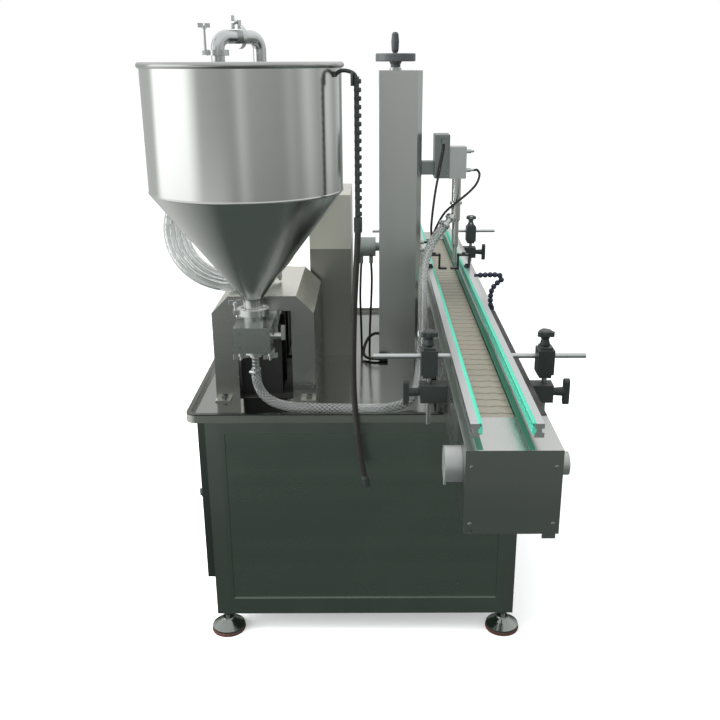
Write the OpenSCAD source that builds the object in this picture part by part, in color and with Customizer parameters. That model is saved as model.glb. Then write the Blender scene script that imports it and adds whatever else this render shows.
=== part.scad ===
// Single head piston liquid filler with a conveyor, millimetres, +Z up.
// X runs across the machine, Y along the conveyor, Z up from the floor.
// Places are measured from the middle of the table and shifted by placed().

/* [Cabinet] */
// Width of the table tray across the machine
table_w = 920; // [860:5:1000]
// Depth of the table tray along the conveyor
table_d = 1020; // [940:5:1100]
// Height of the tray floor above the ground
table_z = 684; // [640:2:740]
// Height of the raised rim above the tray floor
rim_h = 12; // [8:1:20]
// Width of the raised rim
rim_w = 12; // [8:1:18]
// Thickness of the tray floor
tray_t = 12; // [6:1:16]
// Corner radius of the tray
tray_r = 25; // [10:1:40]
// Width of the cabinet frame
cab_w = 840; // [780:5:850]
// Depth of the cabinet frame
cab_d = 930; // [860:5:940]
// Height of the frame's underside above the ground
cab_z = 64; // [56:1:90]
// Side of the square frame tube
tube = 50; // [40:1:60]
// Wall of the square frame tube
tube_wall = 3; // [2:0.5:4]
// Thickness of the cabinet panels
panel_t = 2; // [1:0.5:4]
// How far the side door stands proud of the frame
door_t = 24; // [18:1:30]
// Diameter of a levelling foot
foot_d = 92; // [80:1:110]

/* [Hopper] */
// Outer diameter of the hopper cylinder
hopper_d = 466; // [420:2:500]
// Height of the hopper cylinder
hopper_h = 295; // [240:5:340]
// Height of the hopper cone
cone_h = 270; // [220:2:300]
// Sheet thickness of the hopper
hopper_t = 2; // [1.5:0.5:4]
// Diameter of the rolled rim bead
bead_d = 14; // [8:1:18]
// Outer diameter of the outlet neck
neck_d = 51; // [45:1:60]
// Outer diameter of the infeed pipe
infeed_d = 34; // [28:1:40]

/* [Pump] */
// Bore of the metering cylinder
bore_d = 80; // [60:1:90]
// Wall of the metering cylinder
barrel_wall = 8; // [5:1:10]
// Stroke of the piston
stroke = 100; // [60:5:110]
// Length of the piston
piston_l = 36; // [28:1:44]
// Diameter of the piston rod
rod_d = 20; // [16:1:24]
// Width of the valve block
valve_w = 90; // [80:1:110]
// Depth of the valve block
valve_l = 120; // [110:1:140]
// Height of the valve block
valve_h = 68; // [60:1:80]
// Diameter of the turning valve plug
plug_d = 44; // [38:1:50]
// Width of the tunnel cover
tunnel_w = 270; // [240:2:300]
// Height of the tunnel cover
tunnel_h = 288; // [280:2:320]
// Length of the tunnel cover
tunnel_l = 350; // [320:5:360]
// Size of the cover's slanted shoulders
shoulder = 46; // [30:1:60]

/* [Fill head] */
// Width of the lift column
column_w = 122; // [112:1:140]
// Depth of the lift column
column_d = 160; // [150:2:200]
// Height of the lift column above the tray
column_h = 844; // [780:2:900]
// Wall of the lift column
column_wall = 3; // [2:0.5:5]
// Diameter of the lead screw
screw_d = 20; // [16:1:24]
// Diameter of the handwheel
wheel_d = 114; // [100:1:150]
// Height of the nozzle tip above the chain
nozzle_gap = 116; // [90:1:150]
// Outer diameter of the nozzle tube
nozzle_d = 27; // [24:1:32]
// Bore of the nozzle tip
tip_bore = 9; // [7:0.5:12]
// Opening travel of the nozzle plunger
plunger_travel = 12; // [6:1:14]

/* [Conveyor] */
// Length of the conveyor
conv_l = 2200; // [2000:10:2400]
// Width of the conveyor frame
conv_w = 184; // [176:1:200]
// Height of the conveyor's top edge above the ground
conv_z = 866; // [850:1:890]
// Depth of the conveyor's side frame
conv_h = 126; // [124:1:140]
// Width of the flat top chain
chain_w = 82.6; // [80:0.1:86]
// Thickness of the flat top chain
chain_t = 6; // [4:0.5:8]
// Pitch of the chain slats
chain_pitch = 38.1; // [30:0.1:60]
// Diameter of the chain wheels
sprocket_d = 102; // [90:1:104]
// Diameter of the conveyor shafts
shaft_d = 25; // [20:1:30]
// Clear lane between the guide rails
lane_w = 92; // [70:1:110]
// Height of a guide rail bar
rail_h = 28; // [22:1:32]
// Width of a guide rail bar
rail_w = 18; // [14:1:20]
// Diameter of the rail rods and posts
guide_d = 12; // [10:1:14]

/* [Hoses] */
// Outer diameter of the product hose
hose_d = 26; // [20:1:30]
// Outer diameter of the coiled infeed hose
coil_hose_d = 25; // [20:1:26]
// Turns in the coiled infeed hose
coil_turns = 3; // [2:1:4]

/* [Hidden] */
$fn = 48;

STEEL = [0.72, 0.73, 0.72];
DARK_STEEL = [0.33, 0.37, 0.35];
ALUMINIUM = [0.8, 0.81, 0.82];
BLACK = [0.13, 0.14, 0.14];
GREEN = [0.25, 0.72, 0.58];
SLAT = [0.6, 0.55, 0.48];
CLEAR = [0.86, 0.89, 0.89];
RUBBER = [0.28, 0.12, 0.09];
RED = [0.75, 0.1, 0.08];

// Radial clearance of a running fit
run_fit = 0.05;
// Gap between pieces that pass each other
pass_gap = 0.5;
// Overlap that joins shapes inside one solid
join = 1;

// Table and cabinet
rim_z = table_z + rim_h;
tray_z0 = table_z - tray_t;
cab_x = cab_w / 2;
cab_y = cab_d / 2;
post_x = cab_x - tube / 2;
post_y = cab_y - tube / 2;
foot_plate_t = 8;
stem_d = 16;
pad_h = 10;
dome_h = 30;

// Side door on the left, hinged at the back
door_gap = 1;
door_x1 = -cab_x - door_gap;
door_x0 = door_x1 - door_t;
door_y = cab_y - 25;
door_z0 = cab_z + 106;
door_z1 = tray_z0 - 6;
hinge_pin_d = 8;
hinge_d = 14;
hinge_x = (door_x0 + door_x1) / 2;
hinge_y = door_y + hinge_d / 2 + pass_gap;
hinge_zs = [door_z0 + 90, door_z1 - 150];
knuckle_h = 30;
latch_y = -door_y + 40;
latch_z = (door_z0 + door_z1) / 2;
latch_d = 26;
latch_shaft_d = 10;

// Pump train
pump_x = -280;
pump_z = table_z + 202;
hopper_y = -440;
valve_y0 = hopper_y - 45;
valve_y1 = valve_y0 + valve_l;
valve_z0 = pump_z - valve_h / 2;
valve_z1 = pump_z + valve_h / 2;
port_d = 30;
outlet_d = 20;
flange_t = 12;
barrel_d = bore_d + 2 * barrel_wall;
barrel_y1 = valve_y1 + flange_t + piston_l + stroke + 34;
rear_head_t = 14;
piston_y0 = valve_y1 + flange_t + 2;
coupling_d = 36;
coupling_l = 40;
coupling_y0 = barrel_y1 + rear_head_t + 20;
drive_y0 = coupling_y0 + coupling_l + stroke + 10;
drive_head = 86;
drive_head_t = 22;
drive_bore = 78;
drive_piston_l = 16;
drive_piston_y0 = drive_y0 + drive_head_t + 6;
drive_y1 = drive_piston_y0 + drive_piston_l + stroke + 8;
tunnel_x = -266;
tunnel_y0 = -370;
tunnel_z1 = table_z + tunnel_h;
tunnel_t = 2;
slot_gap = 12;

// Hopper
hopper_r = hopper_d / 2;
ferrule_d = neck_d + 13;
ferrule_t = 6;
inlet_h = 33;
ferrule_z = valve_z1 + inlet_h;
cone_z0 = ferrule_z + ferrule_t + 28;
cone_z1 = cone_z0 + cone_h;
hopper_z1 = cone_z1 + hopper_h;
rim_r = hopper_r - 1;
clamp_d = ferrule_d + 16;

// Infeed pipe that hooks over the back of the rim
bend_out = [-269, -165];
bend_in = [-362, -262];
bend_r = 30;
bend_dir = (bend_in - bend_out) / norm(bend_in - bend_out);
bend_turn = atan2(bend_dir[1], bend_dir[0]);
bend_span = norm(bend_in - bend_out);
bend_z = hopper_z1 + 30;
leg_out_z0 = hopper_z1 - 75;
leg_in_z0 = hopper_z1 - 115;
infeed_wall = 2;
saddle_z = leg_out_z0 + 37;
saddle_h = 16;

// Control box
box_x0 = -164;
box_x1 = -40;
box_y0 = 0;
box_y1 = 260;
box_z1 = table_z + 497;
seam_z = table_z + 336;
stop_y = box_y0 + 215;
stop_z = box_z1 - 60;
stop_d = 40;
stop_stem_d = 22;

// Lift column and fill head
column_x0 = 45;
column_x1 = column_x0 + column_w;
column_y0 = -30;
column_y1 = column_y0 + column_d;
column_z1 = table_z + column_h;
cap_t = 8;
screw_x = column_x0 + 47;
screw_y = (column_y0 + column_y1) / 2;
guide_rod_d = 16;
guide_off = 48;
arm_y0 = screw_y - 58;
arm_w = 36;
lift_down = 30;
lift_up = 150;
nut_z0 = table_z + 530;
nut_h = 64;
arm_z0 = nut_z0 + 26;
arm_h = 38;
chain_off = -16;
conv_x = 288;
chain_x = conv_x + chain_off;
chain_z = conv_z - 4;
lane_x = 272;
nozzle_x = lane_x;
nozzle_y = arm_y0 + arm_w / 2;
tip_z = chain_z + nozzle_gap;
head_x0 = column_x1 + 37;
head_x1 = nozzle_x - 25;
head_z0 = arm_z0 - 8;
head_z1 = head_z0 + 122;
cyl_w = 50;
cyl_z0 = tip_z + 251;
cyl_h = 90;
cyl_bore = 32;
plunger_d = 8;
branch_z = tip_z + 152;
branch_dir = [-0.6, -0.45, -0.66] / norm([-0.6, -0.45, -0.66]);
branch_l = 48;
branch_end = [nozzle_x, nozzle_y, branch_z] + branch_l * branch_dir;
wheel_z = column_z1 + 38;
grip_d = 21;
grip_h = 56;
wheel_r = wheel_d / 2 - 6;

// Conveyor
conv_y = conv_l / 2;
frame_t = 3;
frame_x0 = conv_x - conv_w / 2;
frame_x1 = conv_x + conv_w / 2;
frame_z0 = conv_z - conv_h;
end_l = 150;
end_z0 = conv_z - 176;
end_y = conv_y - end_l;
shaft_y = conv_y - 75;
wrap_r = sprocket_d / 2 + 1;
shaft_z = chain_z - chain_t - wrap_r;
strip_gap = 1.7;
strip_w = 12;
strip_h = 16;
strip_x = chain_w / 2 + strip_gap;
leg_ys = [-380, 380];
cross_pitch = (conv_y - 400) / 2;
cross_ys = [for (k = [-2 : 2]) k * cross_pitch];
boss_l = 34;
cap_l = 26;
boss_d = 72;

// Guide rails
insert_w = 5;
insert_h = 16;
rail_z = conv_z + 38;
rail_l = conv_l - 10;
lane_x0 = lane_x - lane_w / 2;
lane_x1 = lane_x + lane_w / 2;
support_ys = [423 - conv_y, conv_y - 200];
post_off = 42;
rod_off = 16;
clamp_w = 38;
clamp_z0 = rail_z - 46;
clamp_z1 = rail_z + 27;
post_z0 = frame_z0;
bracket_z0 = conv_z - 66;
bracket_h = 42;
bracket_w = 40;
rod_out = 178;
screw_hole_d = 8;

// Where the whole part sits: middle of its box in X
x_min = min(-table_w / 2, pump_x - rim_r - bead_d / 2);
x_max = max(table_w / 2, lane_x1 + insert_w + rail_w + rod_out);
x_mid = (x_min + x_max) / 2;

// Gap between the end of a hose or tube and the fitting that it meets
end_gap = 0.5;

// Routes of the hoses and cables, chosen by hand
hose_route = [[-280, -440, 776], [-277, -441, 752], [-264, -445, 728], [-240, -451, 709],
    [-207, -459, 700], [-165, -467, 698], [-110, -473, 698], [-50, -476, 698], [10, -477, 698],
    [62, -472, 698], [104, -452, 702], [131, -418, 714], [146, -375, 740], [154, -328, 780],
    [160, -276, 832], [164, -222, 890], [166, -172, 942], [170, -132, 977], [178, -96, 1006],
    [190, -65, 1033], [206, -40, 1057], [225, -25, 1078]];
tube_route_a = [[228, -36, 1330], [228, -36, 1314], [218, -41, 1260], [207, -44, 1200], [200, -43, 1140],
    [197, -34, 1090], [200, -16, 1062], [197, -3, 1044], [189, 0, 1040], [179, 0, 1040]];
tube_route_b = [[321.5, 10, 1251], [326, 10, 1251], [331.5, 10, 1251], [338, 4, 1239], [330, -8, 1216],
    [310, -18, 1194], [284, -20, 1172], [258, -14, 1150], [238, 4, 1126], [222, 20, 1094], [207, 26, 1056],
    [200, 25, 1024], [190, 24, 1012], [179, 24, 1012]];
cable_route = [[-10, -538, 1181], [-13, -538, 1120], [-20, -538, 1000], [-24, -538, 880],
    [-24, -538, 780], [-19, -538, 690], [-12, -538, 620], [-4, -538, 560], [2, -538, 530]];
drop_route_a = [[-10, 50, 965.6], [-12, 48, 930], [-14, 44, 860], [-12, 40, 780], [-10, 40, 684]];
drop_route_b = [[20, 50, 965.6], [22, 47, 920], [20, 42, 850], [16, 40, 770], [14, 40, 684]];
lead_route = [[44.6, 40, 742], [30, 40, 742], [12, 28, 733], [0, 8, 714], [-4, -18, 699],
    [4, -42, 692], [22, -54, 691], [44, -56, 691]];

function unit(v) = v / norm(v);

// Point at share t between p1 and p2 on a smooth curve through four points
function blend(p0, p1, p2, p3, t) = 0.5 * (2 * p1 + (p2 - p0) * t
    + (2 * p0 - 5 * p1 + 4 * p2 - p3) * t * t + (3 * p1 - p0 - 3 * p2 + p3) * t * t * t);

// Points along a smooth curve through a route, with n steps a stretch
function smooth(p, n) = let (last = len(p) - 1) concat(
    [for (i = [0 : last - 1], k = [0 : n - 1])
        blend(p[max(i - 1, 0)], p[i], p[i + 1], p[min(i + 2, last)], k / n)], [p[last]]);

function tangent(p, i) = unit(p[min(i + 1, len(p) - 1)] - p[max(i - 1, 0)]);

function first_side(t) = unit(cross(t, abs(t[2]) > 0.9 ? [1, 0, 0] : [0, 0, 1]));

// One sideways direction per point, carried along without twist
function sides_along(p) = [for (i = 0, s = first_side(tangent(p, 0)); i < len(p);
    i = i + 1, s = i < len(p) ? unit(s - (s * tangent(p, i)) * tangent(p, i)) : s) s];

// Least distance between turns of a coil, less the hose itself
function least_gap(p, d, skip) = min([for (i = [0 : len(p) - 1 - skip], j = [i + skip : len(p) - 1])
    norm(p[i] - p[j])]) - d;

// Closed tube of diameter d along the points p
module swept(p, d, n) {
    s = sides_along(p);
    last = len(p) - 1;
    points = [for (i = [0 : last]) let (t = tangent(p, i), a = s[i], b = cross(t, a))
        for (k = [0 : n - 1]) p[i] + d / 2 * (cos(360 * k / n) * a + sin(360 * k / n) * b)];
    walls = [for (i = [0 : last - 1], k = [0 : n - 1]) let (m = (k + 1) % n, q = i * n, r = q + n)
        each [[q + k, r + k, r + m], [q + k, r + m, q + m]]];
    caps = [for (k = [1 : n - 2]) each [[0, k, k + 1], last * n * [1, 1, 1] + [0, k + 1, k]]];
    polyhedron(points, concat(walls, caps));
}

// Coil of the infeed hose: it leans back on the hopper and stands on the tunnel cover
coil_lean = 33;
coil_r = 178;
coil_step = 32;
coil_shrink = 8;
coil_rings = 24;
coil_start = 150;
coil_x = -352;
coil_y = -232;
coil_z = tunnel_z1 + coil_hose_d / 2 + 0.3 + coil_r * cos(coil_lean);
coil_up = [0, sin(coil_lean), cos(coil_lean)];
function coil_point(a) = let (turn = (a - coil_start) / 360, r = coil_r - coil_shrink * turn,
    drop = coil_shrink * turn * cos(coil_lean))
    [coil_x, coil_y + coil_step * turn, coil_z - drop] + r * (cos(a) * [1, 0, 0] + sin(a) * coil_up);
coil_end = coil_start + 120 + 360 * coil_turns;
coil_points = [for (a = [coil_start : 360 / coil_rings : coil_end]) coil_point(a)];
coil_lead = smooth([[bend_out[0], bend_out[1], leg_out_z0 - 34 - end_gap],
    [bend_out[0], bend_out[1], leg_out_z0 - 47], [bend_out[0], bend_out[1], leg_out_z0 - 60],
    [-280, -164, 1368], [-320, -163, 1326], [-384, -166, 1294], [-450, -174, 1254], coil_points[0]], 2);
coil_tail = [for (k = [1 : 3]) coil_points[len(coil_points) - 1] + [30 * k, 0, 2 * k]];
infeed_points = concat([for (i = [0 : len(coil_lead) - 2]) coil_lead[i]], coil_points, coil_tail);
echo(infeed_hose_least_gap = least_gap(infeed_points, coil_hose_d, coil_rings / 2));

// Parts of the machine at the middle of their own box
module placed() translate([-x_mid, 0, 0]) children();

module span(lo, hi) translate(lo) cube(hi - lo);

module bar_x(d, x0, x1, y, z) translate([x0, y, z]) rotate([0, 90, 0]) cylinder(d = d, h = x1 - x0);

module bar_y(d, y0, y1, x, z) translate([x, y0, z]) rotate([-90, 0, 0]) cylinder(d = d, h = y1 - y0);

module bar_z(d, z0, z1, x, y) translate([x, y, z0]) cylinder(d = d, h = z1 - z0);

module bar_along(d, p, dir, l) translate(p)
    rotate([0, acos(dir[2]), atan2(dir[1], dir[0])]) cylinder(d = d, h = l);

module hexagon(d, h) cylinder(d = d / cos(30), h = h, $fn = 6);

module round_rect(w, d, r) {
    square([w - 2 * r, d], center = true);
    square([w, d - 2 * r], center = true);
    for (x = [-1, 1], y = [-1, 1]) translate([x * (w / 2 - r), y * (d / 2 - r)]) circle(r = r);
}

// Cabinet

module frame_tubes(inset) {
    side = tube - 2 * inset;
    for (x = [-post_x, post_x], y = [-post_y, post_y])
        translate([x - side / 2, y - side / 2, cab_z - (inset > 0 ? join : 0)])
            cube([side, side, tray_z0 - cab_z + (inset > 0 ? 2 * join : 0)]);
    for (z = [cab_z + tube / 2, tray_z0 - tube / 2]) {
        for (y = [-post_y, post_y])
            translate([-post_x, y - side / 2, z - side / 2]) cube([2 * post_x, side, side]);
        for (x = [-post_x, post_x])
            translate([x - side / 2, -post_y, z - side / 2]) cube([side, 2 * post_y, side]);
    }
}

module base_frame() color(DARK_STEEL) placed() {
    difference() {
        union() {
            difference() {
                frame_tubes(0);
                frame_tubes(tube_wall);
            }
            for (x = [-post_x, post_x], y = [-post_y, post_y])
                translate([x - tube / 2 + join, y - tube / 2 + join, cab_z])
                    cube([tube - 2 * join, tube - 2 * join, foot_plate_t]);
        }
        for (x = [-post_x, post_x], y = [-post_y, post_y])
            bar_z(stem_d + 2 * run_fit, cab_z - join, cab_z + foot_plate_t + join, x, y);
    }
}

module cabinet_panels() color(DARK_STEEL) placed() {
    inner_x = cab_x - tube;
    inner_y = cab_y - tube;
    z0 = cab_z + tube;
    z1 = tray_z0 - tube;
    inset = 4;
    span([-inner_x, -cab_y + inset, z0], [inner_x, -cab_y + inset + panel_t, z1]);
    span([-inner_x, cab_y - inset - panel_t, z0], [inner_x, cab_y - inset, z1]);
    span([cab_x - inset - panel_t, -inner_y, z0], [cab_x - inset, inner_y, z1]);
    span([-inner_x, -inner_y, cab_z + inset], [inner_x, inner_y, cab_z + inset + panel_t]);
}

module side_door() color(DARK_STEEL) placed() difference() {
    union() {
        difference() {
            span([door_x0, -door_y, door_z0], [door_x1, door_y, door_z1]);
            span([door_x0 + panel_t, -door_y + panel_t, door_z0 + panel_t],
                [door_x1 + join, door_y - panel_t, door_z1 - panel_t]);
        }
        for (z = hinge_zs) {
            bar_z(hinge_d, z, z + knuckle_h, hinge_x, hinge_y);
            span([hinge_x - 3, door_y - join, z],
                [hinge_x + 3, hinge_y - hinge_pin_d / 2 - 1, z + knuckle_h]);
        }
    }
    for (z = hinge_zs)
        bar_z(hinge_pin_d + 2 * run_fit, z - join, z + knuckle_h + join, hinge_x, hinge_y);
    bar_x(latch_shaft_d + 2 * run_fit, door_x0 - join, door_x0 + panel_t + join, latch_y, latch_z);
}

module door_hinges() color(STEEL) placed() for (z = hinge_zs) {
    bar_z(hinge_pin_d, z - knuckle_h, z + knuckle_h + 6, hinge_x, hinge_y);
    bar_z(hinge_d, z - knuckle_h, z - pass_gap, hinge_x, hinge_y);
    span([hinge_x - 3, hinge_y, z - knuckle_h], [hinge_x + 3, cab_y - 1, z - pass_gap]);
    span([hinge_x - 3, cab_y - 5, z - knuckle_h], [-cab_x, cab_y - 1, z - pass_gap]);
}

module door_latch() color(STEEL) placed() {
    bar_x(latch_d, door_x0 - 8, door_x0 - 0.2, latch_y, latch_z);
    bar_x(latch_shaft_d, door_x0 - join, door_x0 + panel_t + 8, latch_y, latch_z);
    span([door_x0 - 14, latch_y - 3, latch_z - 10], [door_x0 - 7, latch_y + 3, latch_z + 10]);
    span([door_x0 + panel_t + 3, latch_y - 24, latch_z - 7],
        [door_x0 + panel_t + 7, latch_y + 5, latch_z + 7]);
}

module table_top() color(STEEL) placed() difference() {
    translate([0, 0, tray_z0]) linear_extrude(rim_z - tray_z0) round_rect(table_w, table_d, tray_r);
    translate([0, 0, table_z]) linear_extrude(rim_h + join)
        round_rect(table_w - 2 * rim_w, table_d - 2 * rim_w, tray_r - rim_w + 4);
}

module electrics_plate() color(ALUMINIUM) placed() {
    plate_y = cab_y - tube - 12;
    plate_z0 = cab_z + tube + 40;
    plate_z1 = tray_z0 - tube - 40;
    inner_x = cab_x - tube;
    span([-inner_x + 60, plate_y, plate_z0], [inner_x - 60, plate_y + 3, plate_z1]);
    for (x = [-inner_x + 60, inner_x - 90])
        span([x, plate_y + 3, plate_z1 - 30], [x + 30, cab_y - 4 - panel_t, plate_z1]);
    span([-180, plate_y - 70, plate_z0 + 200], [20, plate_y, plate_z0 + 300]);
    span([60, plate_y - 80, plate_z0 + 180], [180, plate_y, plate_z0 + 320]);
    span([-200, plate_y - 50, plate_z0 + 40], [200, plate_y, plate_z0 + 100]);
}

// Levelling feet

module at_feet() for (x = [-post_x, post_x], y = [-post_y, post_y]) translate([x, y, 0]) children();

module levelling_feet() color(STEEL) placed() at_feet() {
    top = pad_h + dome_h;
    rotate_extrude() polygon([[0, pad_h], [foot_d / 2, pad_h], [foot_d / 2, pad_h + 5],
        [foot_d * 0.40, pad_h + 11], [foot_d * 0.29, pad_h + 18], [stem_d + 2, top - 4],
        [stem_d, top], [stem_d / 2, top], [stem_d / 2, cab_z + foot_plate_t + 6],
            [0, cab_z + foot_plate_t + 6]]);
    translate([0, 0, cab_z - 12]) difference() {
        hexagon(26, 12);
        translate([0, 0, -join]) cylinder(d = stem_d, h = 12 + 2 * join);
    }
}

module foot_pads() color(RUBBER) placed() at_feet()
    rotate_extrude() polygon([[0, 0], [foot_d / 2 + 1, 0], [foot_d / 2 + 2, 3],
        [foot_d / 2 + 1, pad_h], [0, pad_h]]);

// Tunnel cover over the pump

module tunnel_outline(inset) {
    w = tunnel_w / 2 - inset;
    h = tunnel_h - inset;
    s = shoulder - inset * 0.414;
    polygon([[-w, 0], [-w, h - s], [-w + s, h], [w - s, h], [w, h - s], [w, 0]]);
}

module tunnel_cover() color(STEEL) placed() {
    slot_x0 = pump_x - valve_w / 2 - slot_gap;
    slot_x1 = tunnel_x + 74;
    difference() {
        translate([tunnel_x, tunnel_y0 + tunnel_l, table_z]) rotate([90, 0, 0])
            linear_extrude(tunnel_l) tunnel_outline(0);
        translate([tunnel_x, tunnel_y0 + tunnel_l + join, table_z - join]) rotate([90, 0, 0])
            linear_extrude(tunnel_l - tunnel_t + join) union() {
                translate([0, join]) tunnel_outline(tunnel_t);
                translate([-tunnel_w / 2 + tunnel_t, 0]) square([tunnel_w - 2 * tunnel_t, 2 * join]);
            }
        span([slot_x0, tunnel_y0 - join, table_z - join],
            [slot_x1, tunnel_y0 + tunnel_t + join, valve_z1 + slot_gap]);
    }
    for (x = [tunnel_x - tunnel_w / 2, tunnel_x + tunnel_w / 2 - 40]) difference() {
        span([x, tunnel_y0 - 24, table_z], [x + 40, tunnel_y0, table_z + 4]);
        bar_z(8, table_z - join, table_z + 5, x + 22, tunnel_y0 - 12);
    }
}

// Pump

module saddle(y, t) difference() {
    span([pump_x - barrel_d / 2 - 8, y, table_z], [pump_x + barrel_d / 2 + 8, y + t, pump_z - 6]);
    bar_y(barrel_d, y - join, y + t + join, pump_x, pump_z);
}

module pump_cradle() color(STEEL) placed() {
    saddle(valve_y1 + flange_t + 24, 16);
    saddle(barrel_y1 - 36, 16);
    for (y = [drive_y0 + 2, drive_y1 + 2])
        span([pump_x - drive_head / 2, y, table_z],
            [pump_x + drive_head / 2, y + drive_head_t - 4, pump_z - drive_head / 2]);
    span([pump_x - drive_head / 2 - 14, drive_y0 - 20, table_z],
        [pump_x - drive_head / 2, drive_y1 + 40, table_z + 8]);
    span([pump_x + drive_head / 2, drive_y0 - 20, table_z],
        [pump_x + drive_head / 2 + 14, drive_y1 + 40, table_z + 8]);
}

module metering_cylinder() color(STEEL) placed() difference() {
    union() {
        span([pump_x - barrel_d / 2 - 4, valve_y1, pump_z - barrel_d / 2 + 14],
            [pump_x + barrel_d / 2 + 4, valve_y1 + flange_t, pump_z + barrel_d / 2 + 2]);
        bar_y(barrel_d, valve_y1 + join, barrel_y1, pump_x, pump_z);
        bar_y(barrel_d + 12, barrel_y1, barrel_y1 + rear_head_t, pump_x, pump_z);
    }
    bar_y(bore_d, valve_y1 + flange_t, barrel_y1, pump_x, pump_z);
    bar_y(port_d, valve_y1 - join, valve_y1 + flange_t + join, pump_x, pump_z);
    bar_y(rod_d + 2 * run_fit, barrel_y1 - join, barrel_y1 + rear_head_t + join, pump_x, pump_z);
}

seal_w = 5;
seal_depth = 4;
function seal_y(i) = piston_y0 + (i + 1) * piston_l / 3 - seal_w / 2;

module piston() color(STEEL) placed() {
    difference() {
        union() {
            bar_y(bore_d - 2 * run_fit, piston_y0, piston_y0 + piston_l, pump_x, pump_z);
            bar_y(rod_d, piston_y0 + join, drive_piston_y0 + join, pump_x, pump_z);
            bar_y(drive_bore - 2 * run_fit, drive_piston_y0, drive_piston_y0 + drive_piston_l, pump_x,
                pump_z);
        }
        for (i = [0, 1]) difference() {
            bar_y(bore_d + join, seal_y(i), seal_y(i) + seal_w, pump_x, pump_z);
            bar_y(bore_d - 2 * seal_depth, seal_y(i) - join, seal_y(i) + seal_w + join, pump_x, pump_z);
        }
    }
    difference() {
        bar_y(coupling_d, coupling_y0, coupling_y0 + coupling_l, pump_x, pump_z);
        bar_y(rod_d, coupling_y0 - join, coupling_y0 + coupling_l + join, pump_x, pump_z);
    }
}

module piston_seals() color(BLACK) placed() for (i = [0, 1]) difference() {
    bar_y(bore_d - 0.06, seal_y(i), seal_y(i) + seal_w, pump_x, pump_z);
    bar_y(bore_d - 2 * seal_depth, seal_y(i) - join, seal_y(i) + seal_w + join, pump_x, pump_z);
}

module drive_cylinder() color(ALUMINIUM) placed() difference() {
    union() {
        for (y = [drive_y0, drive_y1])
            span([pump_x - drive_head / 2, y, pump_z - drive_head / 2],
                [pump_x + drive_head / 2, y + drive_head_t, pump_z + drive_head / 2]);
        bar_y(drive_bore + 8, drive_y0 + join, drive_y1 + join, pump_x, pump_z);
        for (x = [-1, 1], z = [-1, 1])
            bar_y(8, drive_y0 - 5, drive_y1 + drive_head_t + 5,
                pump_x + x * (drive_head / 2 - 8), pump_z + z * (drive_head / 2 - 8));
    }
    bar_y(drive_bore, drive_y0 + drive_head_t, drive_y1, pump_x, pump_z);
    bar_y(rod_d + 2 * run_fit, drive_y0 - 2 * join, drive_y0 + drive_head_t + join, pump_x, pump_z);
}

// Three way valve in front of the pump

plug_x0 = pump_x - valve_w / 2 + 8;
plug_x1 = pump_x + valve_w / 2;
lever_x = plug_x1 + 24;

module valve_body() color(STEEL) placed() {
    difference() {
        union() {
            span([pump_x - valve_w / 2, valve_y0, valve_z0],
                [pump_x + valve_w / 2, valve_y1, valve_z1 - 6]);
            span([pump_x - valve_w / 2 - 3, valve_y0 - 3, valve_z1 - 6],
                [pump_x + valve_w / 2 + 3, valve_y1, valve_z1]);
            bar_z(neck_d, valve_z1 - join, ferrule_z, pump_x, hopper_y);
            bar_z(ferrule_d, ferrule_z - ferrule_t, ferrule_z, pump_x, hopper_y);
        }
        bar_x(plug_d + 2 * run_fit, plug_x0, plug_x1 + join, hopper_y, pump_z);
        bar_z(port_d, pump_z, ferrule_z + join, pump_x, hopper_y);
        bar_y(port_d, hopper_y, valve_y1 + join, pump_x, pump_z);
        bar_z(outlet_d, valve_z0 - join, pump_z, pump_x, hopper_y);
    }
}

module valve_rotor() color(STEEL) placed() {
    difference() {
        bar_x(plug_d, plug_x0 + pass_gap, plug_x1, hopper_y, pump_z);
        bar_z(port_d - 4, pump_z, pump_z + plug_d, pump_x, hopper_y);
        bar_y(port_d - 4, hopper_y, hopper_y + plug_d, pump_x, pump_z);
        translate([pump_x, hopper_y, pump_z]) sphere(d = port_d - 4);
    }
    bar_x(16, plug_x1, lever_x + 10, hopper_y, pump_z);
    difference() {
        span([lever_x, hopper_y - 9, pump_z - 9], [lever_x + 10, hopper_y + 9, pump_z + 26]);
        bar_x(16, lever_x - join, lever_x + 10 + join, hopper_y, pump_z);
    }
}

barb_d = 20;
barb_z0 = valve_z0 - 54;

module outlet_fitting() color(STEEL) placed() difference() {
    union() {
        bar_z(58, valve_z0 - 12, valve_z0, pump_x, hopper_y);
        span([pump_x - 50, hopper_y - 10, valve_z0 - 12], [pump_x + 50, hopper_y + 10, valve_z0 - 2]);
        bar_z(barb_d, barb_z0, valve_z0 - 11, pump_x, hopper_y);
        for (k = [0 : 2]) translate([pump_x, hopper_y, barb_z0 + 4 + 9 * k])
            cylinder(d1 = barb_d - 0.5, d2 = barb_d + 3, h = 7);
        translate([pump_x, hopper_y, barb_z0 + 33]) cylinder(d = 34, h = 10);
    }
    bar_z(outlet_d - 4, barb_z0 - join, valve_z0 + join, pump_x, hopper_y);
}

// A wing nut standing on the plane z = 0
module wing_nut(s) {
    cylinder(d = 15 * s, h = 9 * s);
    for (a = [0, 180]) rotate([0, 0, a]) translate([3 * s, -1.7 * s, 3 * s])
        cube([17 * s, 3.4 * s, 13 * s]);
}

// A pipe clamp ring round the Z axis with a swing bolt and wing nut on its -X side
module clamp_ring(inner, outer, h, bolt) {
    difference() {
        union() {
            cylinder(d = outer, h = h);
            translate([-outer / 2 - 11, -8, 1.5]) cube([16, 16, h - 3]);
        }
        translate([0, 0, -join]) cylinder(d = inner, h = h + 2 * join);
    }
    translate([-outer / 2 - 6, 0, h / 2]) {
        cylinder(d = 7, h = bolt + h / 2);
        translate([0, 0, bolt + h / 2 - 3]) wing_nut(0.8);
    }
}

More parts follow.
